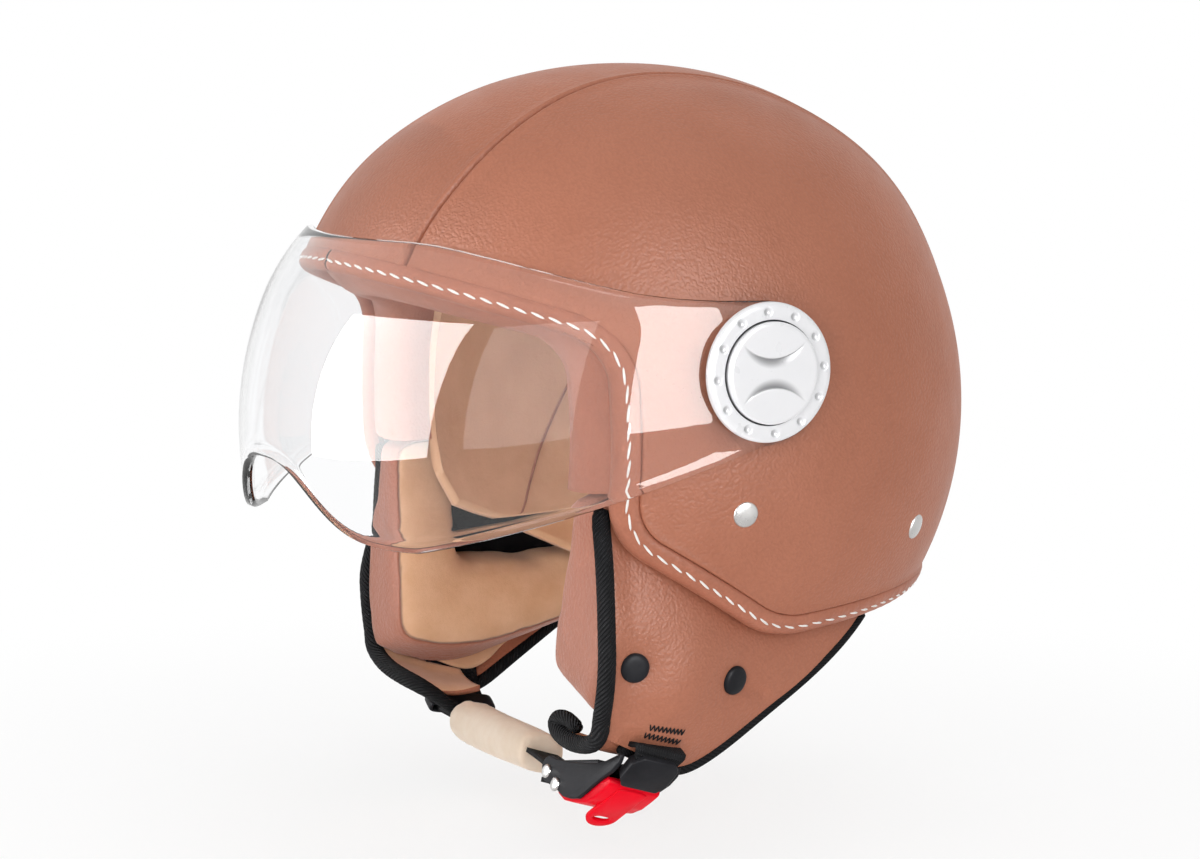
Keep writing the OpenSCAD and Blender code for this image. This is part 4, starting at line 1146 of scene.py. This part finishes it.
# visor
visor = {"t": 2.4, "x": 127.4, "midZ": -33, "front": 138, "topZ": 43, "lowZ": -64.5, "arch": 28, "earR": 26,
         "flat": 14, "lip": 0.9, "drawUp": 58, "drawDown": 190, "lobe": 0.82, "archW": 38, "rows": 28,
         "edge": [(0, 43), (24, 43.2), (30, 42.6), (36, 41.2), (44, 38.5), (53.5, 34.6), (62, 30.7),
                  (68.7, 27.8), (75.3, 26), (82, 25), (90, 24.5)]}
topY = math.sqrt(dome["r"] ** 2 - (visor["topZ"] - dome["z"]) ** 2) - dome["y"] + 2.6 + visor["t"]
bulge = visor["front"] - topY
visorR = ((visor["topZ"] - visor["midZ"]) ** 2 + bulge ** 2) / (2 * bulge)


def visorPoint(a, z, t):
    # a turns round the face from its middle, z is the height, t the way in from the outer skin
    v = visor
    over = max(0, abs(z) - v["flat"]) / (v["drawUp"] if z > 0 else v["drawDown"])
    side = v["x"] * math.sqrt(max(0, 1 - over ** 2))
    ahead = v["front"] - visorR + math.sqrt(visorR ** 2 - (z - v["midZ"]) ** 2)
    return Vector(((side - t) * math.sin(a), -(ahead - t) * math.cos(a), z))


def visorSpan(u):
    # angle, low edge, high edge and how far behind the pivot, for u from one ear to the other
    v = visor
    if abs(u) > 1:
        b = math.radians(90) * (abs(u) - 1)
        h = v["earR"] * math.cos(b)
        return math.copysign(math.pi / 2, u), -h, h - 1.5 * math.cos(b), v["earR"] * math.sin(b)
    a = u * math.pi / 2
    x, y = v["x"] * math.sin(a), -v["front"] * math.cos(a)
    turn = abs(math.degrees(a))
    top = next(mix(z0, z1, (turn - t0) / (t1 - t0)) for (t0, z0), (t1, z1) in zip(v["edge"], v["edge"][1:])
               if turn <= t1 + 0.001)
    lobe = v["lobe"] * v["front"]
    low = v["lowZ"] - (v["earR"] + v["lowZ"]) * max(0, y + lobe) / lobe
    return a, low + v["arch"] * math.exp(-(abs(x) / v["archW"]) ** 3), top, 0


def visorPiece():
    v = visor
    us = [-2 + k / 14 for k in range(14)] + [-1 + k / 70 for k in range(141)]
    us += [1 + k / 14 for k in range(1, 15)]
    rows = []
    for u in us:
        a, low, top, back = visorSpan(u)
        ends = smooth(max(top - low, 0.01) / 8)
        heights = [mix(top, low, k / v["rows"]) for k in range(v["rows"] + 1)]
        lips = [(z, v["lip"] * gauss(z - low, 2.0) * ends) for z in heights]
        line = [(z, -lip) for z, lip in lips] + [(low - 0.8 * ends, v["t"] / 2)]
        line += [(z, v["t"] + 0.5 * lip) for z, lip in reversed(lips)] + [(top + 0.5 * ends, v["t"] / 2)]
        row = [visorPoint(a, z, t) + Vector((0, back, 0)) for z, t in line]
        rows.append(row + [row[0].copy()])
    return skin("bubbleVisor", rows, "clear")


dress(visorPiece(), "visor", "visor")


# pivot discs
# the dimples' and the crescents' dark shares are painted shade in those hollows
disc = {"face": 128.0, "bezelT": 3.4, "knobT": 2.2, "r": 25, "knobR": 18.25, "dimples": 12, "dimpleR": 1.55,
        "dimpleDeep": 0.9, "dimplePaintedShade": 0.75, "dimpleTurn": 4, "cutR": 13.6, "cutOff": 15.1, "keepR": 17,
        "keepOff": 22.5, "cutDeep": 1.0, "cutSlope": 4.2, "cutStep": 0.5, "cutPaintedShade": 0.8}


def discPiece(side, part, bm, paintedShadeAt):
    obj = newPiece(("left" if side > 0 else "right") + part, bm, "hollows")
    # a point attribute of painted shade, from the function given
    marks = obj.data.attributes.new("hollow", "FLOAT", "POINT")
    for v in obj.data.vertices:
        marks.data[v.index].value = paintedShadeAt(abs(v.co.x / mm), v.co.y / mm, v.co.z / mm)
    return obj


def acrossX(side):
    # profile height runs out along x
    return Matrix(((0, 0, side, 0), (0, 1, 0, 0), (1, 0, 0, 0), (0, 0, 0, 1)))


def pivotBase(side):
    profile = [(6, 111), (17.2, 111), (17.6, 121.9), (17.3, 122.5), (16.5, 122.9), (9.7, 122.9),
               (9.4, 123.4), (9.2, 124.6), (8.8, 124.9), (6, 124.9)]
    bm = bmesh.new()
    spun(bm, profile, acrossX(side), 64)
    return newPiece("leftPivotBase" if side > 0 else "rightPivotBase", bm, "plastic")


def bezel(side):
    s = disc
    r, face, top = s["r"], s["face"], s["face"] + s["bezelT"]
    groove = s["knobR"] + 0.45
    profile = [(r - 0.7, face), (r - 0.2, face + 0.2), (r, face + 0.7), (r, top - 1.5),
               (r - 0.15, top - 1.0), (r - 0.55, top - 0.5), (r - 1.1, top - 0.2), (r - 1.8, top - 0.04)]
    profile += [(mix(r - 2.2, groove + 0.25, k / 16), top) for k in range(17)]
    profile += [(groove + 0.06, top - 0.12), (groove, top - 0.4), (groove, top - 1.6),
                (groove - 2, top - 1.6)]
    bm = bmesh.new()
    spun(bm, profile, acrossX(side), 300)
    middle = (r + s["knobR"]) / 2
    step = 2 * math.pi / s["dimples"]
    turn = math.radians(s["dimpleTurn"])

    def nearest(y, z):
        a = round((math.atan2(z, y) - turn) / step) * step + turn
        return Vector((y - middle * math.cos(a), z - middle * math.sin(a))) / s["dimpleR"]
    for v in bm.verts:
        d = nearest(v.co.y / mm, v.co.z / mm).length
        if d < 1 and abs(v.co.x) > (top - 1) * mm:
            v.co.x -= side * s["dimpleDeep"] * mm * math.sqrt(1 - d * d)

    # painted shade: near black in the groove round the knob, and in each dimple a shade that is darker on
    # one side
    def hollow(x, y, z):
        if math.hypot(y, z) < groove + 0.1:
            return 1.0
        d = nearest(y, z)
        if d.length >= 1 or x <= top - 1:
            return 0.0
        return s["dimplePaintedShade"] * (1 - d.length ** 4) * (0.55 - 0.45 * d.x)
    return discPiece(side, "PivotBezel", bm, hollow)


def knob(side):
    s = disc
    face = s["face"] + s["bezelT"] - 1.2
    r, top = s["knobR"], s["face"] + s["bezelT"] + 0.3 + s["knobT"]
    profile = [(r - 0.4, face), (r, face + 0.3), (r, top - 1.1), (r - 0.12, top - 0.75),
               (r - 0.4, top - 0.4), (r - 0.9, top - 0.18)]
    profile += [(mix(r - 1.5, 0, k / 60), top - 0.12 + 0.12 * k / 60) for k in range(61)]
    bm = bmesh.new()
    spun(bm, profile, acrossX(side), 300)

    def scoop(x, y, z):
        # a crescent above and below, sloping down to a step at its outer edge
        inside = s["cutR"] - math.hypot(y, abs(z) - s["cutOff"])
        outside = math.hypot(y, abs(z) - s["keepOff"]) - s["keepR"]
        if x > top - 0.3 and inside > 0 and outside > 0:
            return smooth(inside / s["cutSlope"]) * smooth(outside / s["cutStep"])
        return 0.0
    depths = {v: scoop(abs(v.co.x / mm), v.co.y / mm, v.co.z / mm) for v in bm.verts}
    for v, depth in depths.items():
        v.co.x -= side * s["cutDeep"] * mm * depth

    # painted shade: near black on the knob's side below the bezel's top, and darker in the crescents
    def hollow(x, y, z):
        edge = math.hypot(y, z) > r - 0.2 and x < top - s["knobT"]
        return 1.0 if edge else s["cutPaintedShade"] * scoop(top, y, z) ** 0.6
    return discPiece(side, "PivotKnob", bm, hollow)


for side, name in ((1, "left"), (-1, "right")):
    dress(pivotBase(side), "black_plastic", name + "_pivot_base")
    dress(bezel(side), "silver", name + "_pivot_bezel")
    dress(knob(side), "silver", name + "_pivot_knob")
print("visor and discs made")


# strap webbing
web = {"w": 22, "t": 1.8, "gap": 2.2, "top": (-3, -43.5), "leave": -60, "slot": (-27, -137.6),
       "foot": (-20, -142),
       "chin": [(-82.6, -21, -150), (-66, -24, -156.2), (-54, -25.4, -157.2), (-38, -27.6, -156.9),
                (-18, -29.8, -156.2), (2, -31.6, -155.4), (18, -33, -155)]}
buckle = {"at": Vector((70.5, -33, -154)), "roll": 18, "slope": 11, "yaw": 5, "w": 26.4, "pinX": -21,
          "pinR": 1.5, "plateX": 26, "plateTilt": 40, "tongueZ": 1.4, "leverX": -13.5, "leverZ": -5}
buckleTurn = (Matrix.Rotation(math.radians(buckle["yaw"]), 3, "Z")
              @ Matrix.Rotation(math.radians(-buckle["slope"]), 3, "Y")
              @ Matrix.Rotation(math.radians(-buckle["roll"]), 3, "X"))
buckleFrame = Matrix.Translation(buckle["at"] * mm) @ buckleTurn.to_4x4()


def inBuckle(x, y, z):
    return buckle["at"] + buckleTurn @ Vector((x, y, z))


def webX(y, z):
    f = smooth((web["leave"] - z) / 11)
    return mix(domeX(y, z, 5.6) - 0.3 - web["t"] / 2, flapX(y, z) - flap["t"] - web["gap"], f)


def crossPoints():
    return [mix(-web["w"] / 2, web["w"] / 2, k / 8) for k in range(9)]


def upperRows(side, end, count):
    rows = []
    for k in range(count + 1):
        y, z = mix(web["top"][0], end[0], k / count), mix(web["top"][1], end[1], k / count)
        rows.append([Vector((side * webX(y + w, z), y + w, z)) for w in crossPoints()])
    return rows


def acrossWeb(way, roll):
    # the direction of the webbing's width, for its way and its roll in degrees
    down = Vector((0, -math.cos(math.radians(roll)), math.sin(math.radians(roll))))
    return way.cross(down).cross(way).normalized()


def stripRow(p, t, roll, share=1.0):
    w = acrossWeb(t, roll)
    return [p - w * c * share for c in crossPoints()]


def rightRun():
    # from the right flap along the chin, then round the buckle's pin and a little way back
    x, loop = buckle["pinX"], buckle["pinR"] + 0.3 + web["t"] / 2
    points = [Vector((-webX(*web["foot"]), *web["foot"]))] + [Vector(p) for p in web["chin"]]
    points.append(inBuckle(x - 8, 0, loop))
    for a in range(90, -91, -30):
        points.append(inBuckle(x + loop * math.cos(math.radians(a)), 0, loop * math.sin(math.radians(a))))
    points.append(inBuckle(x - 7, 0, -loop))
    return points


def rightWebbing():
    s = {"rows": 40, "fine": 5, "skip": 3, "fold": 0.4, "foldFrom": 8, "foldTo": 41, "foldOver": 3,
         "rollOver": 25}
    rows = upperRows(-1, web["foot"], s["rows"])
    path = curved(rightRun(), s["fine"])
    for i, p in enumerate(path[s["skip"]:], s["skip"]):
        # folded narrower inside the sleeve
        fold = s["fold"] * smooth((i - s["foldFrom"]) / s["foldOver"])
        fold *= smooth((s["foldTo"] - i) / s["foldOver"])
        rows.append(stripRow(p, heading(path, i), buckle["roll"] * smooth(i / s["rollOver"]), 1 - fold))
    return thicken(skin("rightStrapWebbing", [list(c) for c in zip(*rows)], "webbing"), web["t"], 0)


def onPlate(a, w, h):
    t = math.radians(buckle["plateTilt"])
    return inBuckle(buckle["plateX"] + a * math.cos(t) - h * math.sin(t), w,
                    buckle["tongueZ"] + a * math.sin(t) + h * math.cos(t))


def leftWebbing():
    slotY, slotZ = web["slot"]
    rows = upperRows(1, (slotY, slotZ + 6.5), 36)
    lead = [[onPlate(a, c * narrow, h) for c in crossPoints()] for a, narrow, h in
            ((10.5, 0.97, 1.8), (8, 0.86, 0.6), (5.5, 0.78, 0))]
    middle = Vector((flapX(slotY, slotZ) - flap["t"] / 2, slotY, slotZ))
    path = [rows[-1][4], middle, lead[0][4]]
    rows.append(stripRow(middle, heading(path, 1), buckle["roll"] * 0.9))
    fine = [curved(list(c), 3) for c in zip(*(rows + lead))]
    return thicken(skin("leftStrapWebbing", fine, "webbing"), web["t"], 0)


dress(rightWebbing(), "webbing", "right_strap_webbing")
leftStrap = leftWebbing()
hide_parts("left_strap_webbing")
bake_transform(leftStrap)


def barTacks():
    # two close rows of zigzag thread that hold the webbing to the flap
    s = {"rows": [((-31.9, -129.9), (-17.1, -133.3)), ((-33.1, -132.8), (-17.9, -137.3))], "count": 9,
         "half": 1.3, "r": 0.3}

    def onFlap(p):
        return Vector((flapX(*p) + flapDent(*p) + 0.25, *p))
    pairs = []
    for a, b in s["rows"]:
        a, b = Vector(a), Vector(b)
        across = leftOf((b - a).normalized()) * s["half"]
        for k in range(s["count"]):
            p, q = a.lerp(b, k / s["count"]), a.lerp(b, (k + 0.55) / s["count"])
            pairs.append((onFlap(p + across), onFlap(q - across), flapOut(*p)))
            pairs.append((onFlap(q - across), onFlap(a.lerp(b, (k + 1) / s["count"]) + across),
                          flapOut(*p)))
    return stitches("barTacks", pairs, "black", s["r"])


dress(barTacks(), "webbing", body="helmet")


# padded sleeve round the far webbing
def strapSleeve():
    s = {"w": 19.5, "t": 16.5, "voxel": 2.4, "pressure": 3.0, "cap": 0.8, "wrinkle": 1.3, "square": 0.75,
         "held": 12, "ends": 0.93, "middle": 0.07, "creased": 0.55, "round": 32, "waves": 1.15,
         "twist": 1.2}
    path = spaced(curved(rightRun()[2:8], 10), 61)[4:]
    last = len(path) - 1
    rows = []
    for i, p in enumerate(path):
        t = heading(path, i)
        w = acrossWeb(t, buckle["roll"] * smooth((2 + 5 * i / last) / 5))
        n = t.cross(w)
        full = s["ends"] + s["middle"] * math.sin(math.pi * i / last)
        crease = s["wrinkle"] * (1 - smooth(i / (last * s["creased"])))
        row = []
        for k in range(s["round"] + 1):
            a = 2 * math.pi * k / s["round"]
            c, q = math.cos(a), math.sin(a)
            x = squared(c, s["square"]) * s["w"] / 2 * (0.94 + 0.06 * full)
            y = squared(q, s["square"]) * s["t"] / 2 * full
            dent = crease * math.sin(i * s["waves"] + s["twist"] * math.sin(2 * a))
            dent *= 0.5 + 0.5 * noise.noise(Vector((i / 4, a, 2)))
            row.append(p + w * x + n * (y + (dent if q > 0 else -dent) * abs(q) ** 0.5))
        rows.append(row)
    lids = []
    for ring in (rows[0], rows[-1]):
        centre = sum(ring[:-1], Vector()) / (len(ring) - 1)
        lids.append([centre.lerp(q, 0.05) for q in ring])
    bm = gridMesh([lids[0]] + rows + [lids[1]])
    bmesh.ops.remove_doubles(bm, verts=bm.verts, dist=1e-6)
    bmesh.ops.holes_fill(bm, edges=bm.edges, sides=64)
    obj = newPiece("strapSleeve", bm, "cream")
    ends = path[0], path[-1]
    return fill(obj, s["voxel"], s["pressure"], s["cap"],
                lambda q: 1.0 if min((q - e).length for e in ends) < s["held"] else 0.0)


dress(strapSleeve(), "suede", "strap_sleeve")
print("strap made")


# buckle: outlines in the buckle's own frame, extruded across it
def raised(bm, faces, way):
    # faces drawn out by a way in millimetres; gives the points that moved
    out = bmesh.ops.extrude_face_region(bm, geom=faces)
    moved = [v for v in out["geom"] if isinstance(v, bmesh.types.BMVert)]
    bmesh.ops.translate(bm, vec=[c * mm for c in way], verts=moved)
    return moved


def softEdges(bm, edges, width):
    bmesh.ops.bevel(bm, geom=edges, offset=width * mm, segments=2, profile=0.5, affect="EDGES", material=-1)


def plate(bm, outline, y0, y1, width=0.4):
    made = [bm.verts.new((x * mm, y0 * mm, z * mm)) for x, z in outline]
    moved = raised(bm, [bm.faces.new(made)], (0, y1 - y0, 0))
    softEdges(bm, list(dict.fromkeys(e for v in made + moved for e in v.link_edges)), width)


def joined(bm, other):
    loose = bpy.data.meshes.new("loose")
    other.to_mesh(loose)
    other.free()
    bm.from_mesh(loose)
    bpy.data.meshes.remove(loose)


def placed(obj):
    obj.data.transform(buckleFrame)
    return obj


def buckleBody():
    s = {"cheek": [(-21.4, 6.1), (-16, 4.5), (-6, 3.4), (4, 2.8), (12, 2.8), (18, 3.5), (23.4, 5),
                   (27.4, 6.2), (28.2, 5.4), (27, 2.6), (22.6, -0.6), (16, -3.4), (11.6, -5.6), (7, -8.2),
                   (2.9, -10.2), (-3, -10.2), (-7.8, -9.4), (-13.2, -6.6), (-18, -5), (-22.6, -3.4),
                   (-25.2, -0.6), (-25.6, 2.6), (-24.2, 5)],
         "t": 1.8, "bridge": [(-16, 2.2), (12, 2.2), (12, 4.2), (-16, 4.2)]}
    half = buckle["w"] / 2
    bm = bmesh.new()
    plate(bm, s["cheek"], -half, -half + s["t"])
    plate(bm, s["cheek"], half - s["t"], half)
    plate(bm, s["bridge"], -half + 0.6, half - 0.6)
    return placed(newPiece("buckleBody", bm, "metal", 0))


def headedPin(name, x, z):
    half = buckle["w"] / 2
    profile = [(0, half + 1.3), (1.4, half + 1.25), (2.2, half + 1.0), (2.6, half + 0.5), (2.6, half - 0.1)]
    bm = bmesh.new()
    for side in (1, -1):
        turn = Matrix.Rotation(math.radians(-90 * side), 4, "X")
        spun(bm, profile, Matrix.Translation((x * mm, 0, z * mm)) @ turn)
    return placed(newPiece(name, bm, "steel"))


def lever():
    # an arm under the teeth, folded back into a pull tab with a slot near its end
    s = {"arm": [(-16.4, -5), (-15.6, -3), (-13.5, -2), (-6, -1.8), (2, -1.6), (10, -1.6), (16, -1.5),
                 (19, -2.0), (20.4, -3.4), (19.8, -5), (16.5, -6.9), (10, -10), (4, -11.4), (-4, -11.2),
                 (-10, -10.4), (-14.4, -8)],
         "fold": (18.8, 0, -4.4), "slope": 26.6, "half": 6.2, "long": 26.6, "t": 1.8,
         "hole": (21.2, 1.7, 3.9)}
    half = buckle["w"] / 2 - 2.1
    bm = bmesh.new()
    plate(bm, s["arm"], -half, half, 0.8)
    tip = s["long"] - s["half"]
    angles = [math.radians(a) for a in range(-90, 91, 11)]
    outer = [(tip + s["half"] * math.cos(a), s["half"] * math.sin(a)) for a in angles]
    outer += [(d, s["half"]) for d in (16, 12, 8, 4, 0.4)] + [(-0.4, y) for y in (3, 0, -3)]
    outer += [(d, -s["half"]) for d in (0.4, 4, 8, 12, 16)]
    at, short, wide = s["hole"]
    inner = []
    for d, y in outer:
        a = math.atan2(y / 2.6, d - at)
        inner.append((at + short * math.cos(a), wide * squared(math.sin(a), 0.7)))
    tab = bmesh.new()
    rings = []
    for points in (outer, inner):
        made = [tab.verts.new((x * mm, y * mm, 0)) for x, y in points]
        rings += [tab.edges.new((p, q)) for p, q in zip(made, made[1:] + made[:1])]
    raised(tab, bmesh.ops.bridge_loops(tab, edges=rings)["faces"], (0, 0, s["t"]))
    softEdges(tab, [e for e in tab.edges if e.calc_face_angle(0) > 1], 0.4)
    turn = Matrix.Rotation(math.radians(180 - s["slope"]), 4, "Y")
    bmesh.ops.transform(tab, matrix=Matrix.Translation(Vector(s["fold"]) * mm) @ turn, verts=tab.verts)
    joined(bm, tab)
    return placed(newPiece("buckleLever", bm, "red", 0))


def tongue():
    # a toothed bar, and the hood that takes the webbing
    s = {"bar": (-8, 27.5, 1.9), "teeth": 7, "pitch": 3, "tooth": 2.6,
         "hood": [(-7, -7.5), (-3.5, -10), (4.5, -10), (8.5, -6.5), (8.5, 7.5), (6, 10), (-3.5, 10),
                  (-7, 7.5)]}
    bm = bmesh.new()
    z = buckle["tongueZ"]
    x0, x1, t = s["bar"]
    plate(bm, [(x0, z), (x1, z), (x1, z + t), (x0, z + t)], -8, 8, 0.3)
    for k in range(s["teeth"]):
        x = -7 + s["pitch"] * k
        plate(bm, [(x, z + 0.2), (x + s["tooth"], z + 0.2), (x + s["tooth"], z - 0.9)], -7, 7, 0.12)
    hood = bmesh.new()
    made = [hood.verts.new((x * mm, y * mm, -2.4 * mm)) for x, y in s["hood"]]
    moved = raised(hood, [hood.faces.new(made)], (0, 0, 5))
    bmesh.ops.scale(hood, vec=(0.93, 0.93, 1), space=Matrix.Translation((-1 * mm, 0, 0)), verts=moved)
    softEdges(hood, list(hood.edges), 0.7)
    turn = Matrix.Rotation(math.radians(-buckle["plateTilt"]), 4, "Y")
    foot = Vector((buckle["plateX"], 0, z))
    bmesh.ops.transform(hood, matrix=Matrix.Translation(foot * mm) @ turn, verts=hood.verts)
    joined(bm, hood)
    return placed(newPiece("ratchetTongue", bm, "metal", 0))


def slider():
    s = {"w": 29, "l": 9, "t": 5, "bar": 1.5}
    run = rightRun()
    way = (run[2] - run[1]).normalized()
    w = acrossWeb(way, buckle["roll"] * smooth(1.5 / 5))
    n = way.cross(w)
    middle = (run[1] + run[2]) / 2
    rows = []
    for c, q in circle(1, 48):
        x = squared(c, 0.22) * (s["w"] / 2 - s["bar"])
        z = squared(q, 0.3) * (s["t"] / 2 - s["bar"] / 2)
        row = []
        for along, up in circle(1, 16):
            along, up = squared(along, 0.5) * s["l"] / 2, squared(up, 0.6) * s["bar"] * 0.6
            row.append(middle + w * (x + c * up) + n * (z + q * up) + way * along)
        rows.append(row)
    return skin("strapSlider", rows, "plastic")


dress(buckleBody(), "black_plastic", "buckle_body")
dress(headedPin("webbingPin", buckle["pinX"], 0), "steel", "webbing_pin")
dress(headedPin("leverPin", buckle["leverX"], buckle["leverZ"]), "steel", "lever_pin")
dress(lever(), "red_plastic", "buckle_lever")
dress(tongue(), "black_plastic", "ratchet_tongue")
dress(slider(), "black_plastic", "strap_slider")
print("buckle made")

# solids that stay as they are
for name, surface in (("impact_liner", "foam"), ("pivot_nuts", "steel"), ("pivot_washers", "steel"),
                      ("left_pivot_screw", "steel"), ("right_pivot_screw", "steel"),
                      ("rivet_washers", "steel"), ("lever_spring", "steel")):
    for place in frame["nodes"][name].material_slots:
        place.link = "OBJECT"
        place.material = looks[surface]


# camera at the photograph's view
def addCamera():
    s = {"azimuth": 62, "elevation": 7.5, "distance": 1.5, "right": 0.0013, "up": -0.03508, "lens": 117.97}
    a, e = math.radians(s["azimuth"]), math.radians(s["elevation"])
    back = Vector((math.sin(a) * math.cos(e), -math.cos(a) * math.cos(e), math.sin(e)))
    right = Vector((math.cos(a), math.sin(a), 0))
    up = back.cross(right)
    camera = bpy.data.objects.new("camera", bpy.data.cameras.new("camera"))
    camera.data.lens = s["lens"]
    camera.data.clip_end = 50
    spot = back * s["distance"] + right * s["right"] + up * s["up"]
    camera.matrix_world = Matrix.Translation(spot) @ Matrix((right, up, back)).transposed().to_4x4()
    scene.collection.objects.link(camera)
    scene.camera = camera


# floor, backdrop and lamps
def seenWhite(tree):
    # 1 for the rays that show the background, 0 for those that light the object
    rays = node(tree, "LightPath").outputs
    either = node(tree, "Math", {0: rays["Is Camera Ray"], 1: rays["Is Transmission Ray"]},
                  operation="MAXIMUM")
    both = node(tree, "Math", {0: either.outputs["Value"], 1: rays["Is Glossy Ray"]}, operation="MAXIMUM")
    return both.outputs["Value"]


def stage():
    s = {"z": -0.186, "size": 9.0, "colour": (0.92, 0.92, 0.92, 1), "near": 0.12, "far": 0.52, "lift": 0.75}
    bm = bmesh.new()
    bmesh.ops.create_grid(bm, x_segments=8, y_segments=8, size=s["size"],
                          matrix=Matrix.Translation((0, 0, s["z"])))
    mesh = bpy.data.meshes.new("floor")
    bm.to_mesh(mesh)
    bm.free()
    floor = bpy.data.objects.new("floor", mesh)
    scene.collection.objects.link(floor)
    mat, tree, shader = newLook("paleFloor")
    plug(tree, shader, {"Base Color": s["colour"], "Roughness": 0.9, "Specular IOR Level": 0.0})
    white = node(tree, "Emission", {"Color": grey(1), "Strength": 1.0})
    away = node(tree, "VectorMath", {0: node(tree, "TexCoord").outputs["Object"]}, operation="LENGTH")
    fade = node(tree, "MapRange", {"Value": away.outputs["Value"], "From Min": s["near"],
                                   "From Max": s["far"], "To Min": s["lift"], "To Max": 1.0},
                interpolation_type="SMOOTHSTEP")
    share = times(tree, fade.outputs["Result"], seenWhite(tree))
    swap = node(tree, "MixShader", {"Fac": share, 1: shader.outputs["BSDF"], 2: white.outputs["Emission"]})
    plug(tree, tree.nodes["Material Output"], {"Surface": swap.outputs["Shader"]})
    mesh.materials.append(mat)


def whiteWorld():
    s = {"light": 0.44}
    world = bpy.data.worlds.new("studio")
    world.use_nodes = True
    scene.world = world
    tree = world.node_tree
    plain = tree.nodes["Background"]
    plug(tree, plain, {"Color": grey(1), "Strength": s["light"]})
    shown = node(tree, "Background", {"Color": grey(1), "Strength": 1.0})
    swap = node(tree, "MixShader", {"Fac": seenWhite(tree), 1: plain.outputs["Background"],
                                    2: shown.outputs["Background"]})
    plug(tree, tree.nodes["World Output"], {"Surface": swap.outputs["Shader"]})


lamps = [
    {"name": "frontBox", "at": (-0.10, -1.05, 0.12), "size": (0.95, 0.82), "power": 50.0, "shine": True},
    {"name": "sideBox", "at": (1.05, -0.02, 0.26), "size": (0.50, 0.90), "power": 25.0, "shine": True},
    {"name": "frontSoft", "at": (-0.10, -1.05, 0.12), "size": (0.95, 0.82), "power": 9.5, "shine": False},
    {"name": "sideSoft", "at": (1.05, -0.02, 0.26), "size": (0.50, 0.90), "power": 6.8, "shine": False},
    {"name": "fill", "at": (0.95, -0.95, 0.12), "size": (0.8, 0.8), "power": 6.5, "shine": False},
    {"name": "top", "at": (0.2, 0.2, 1.5), "size": (1.2, 1.2), "power": 5.5, "shine": False},
]


def addLamps():
    for s in lamps:
        light = bpy.data.lights.new(s["name"], "AREA")
        light.shape = "RECTANGLE"
        light.size, light.size_y = s["size"]
        light.energy = s["power"]
        lamp = bpy.data.objects.new(s["name"], light)
        at = Vector(s["at"])
        aim = (Vector((0, 0, -0.04)) - at).to_track_quat("-Z", "Y")
        lamp.matrix_world = Matrix.Translation(at) @ aim.to_matrix().to_4x4()
        lamp.visible_glossy = s["shine"]
        lamp.visible_diffuse = lamp.visible_transmission = not s["shine"]
        scene.collection.objects.link(lamp)


addCamera()
stage()
whiteWorld()
addLamps()
print("scene ready")
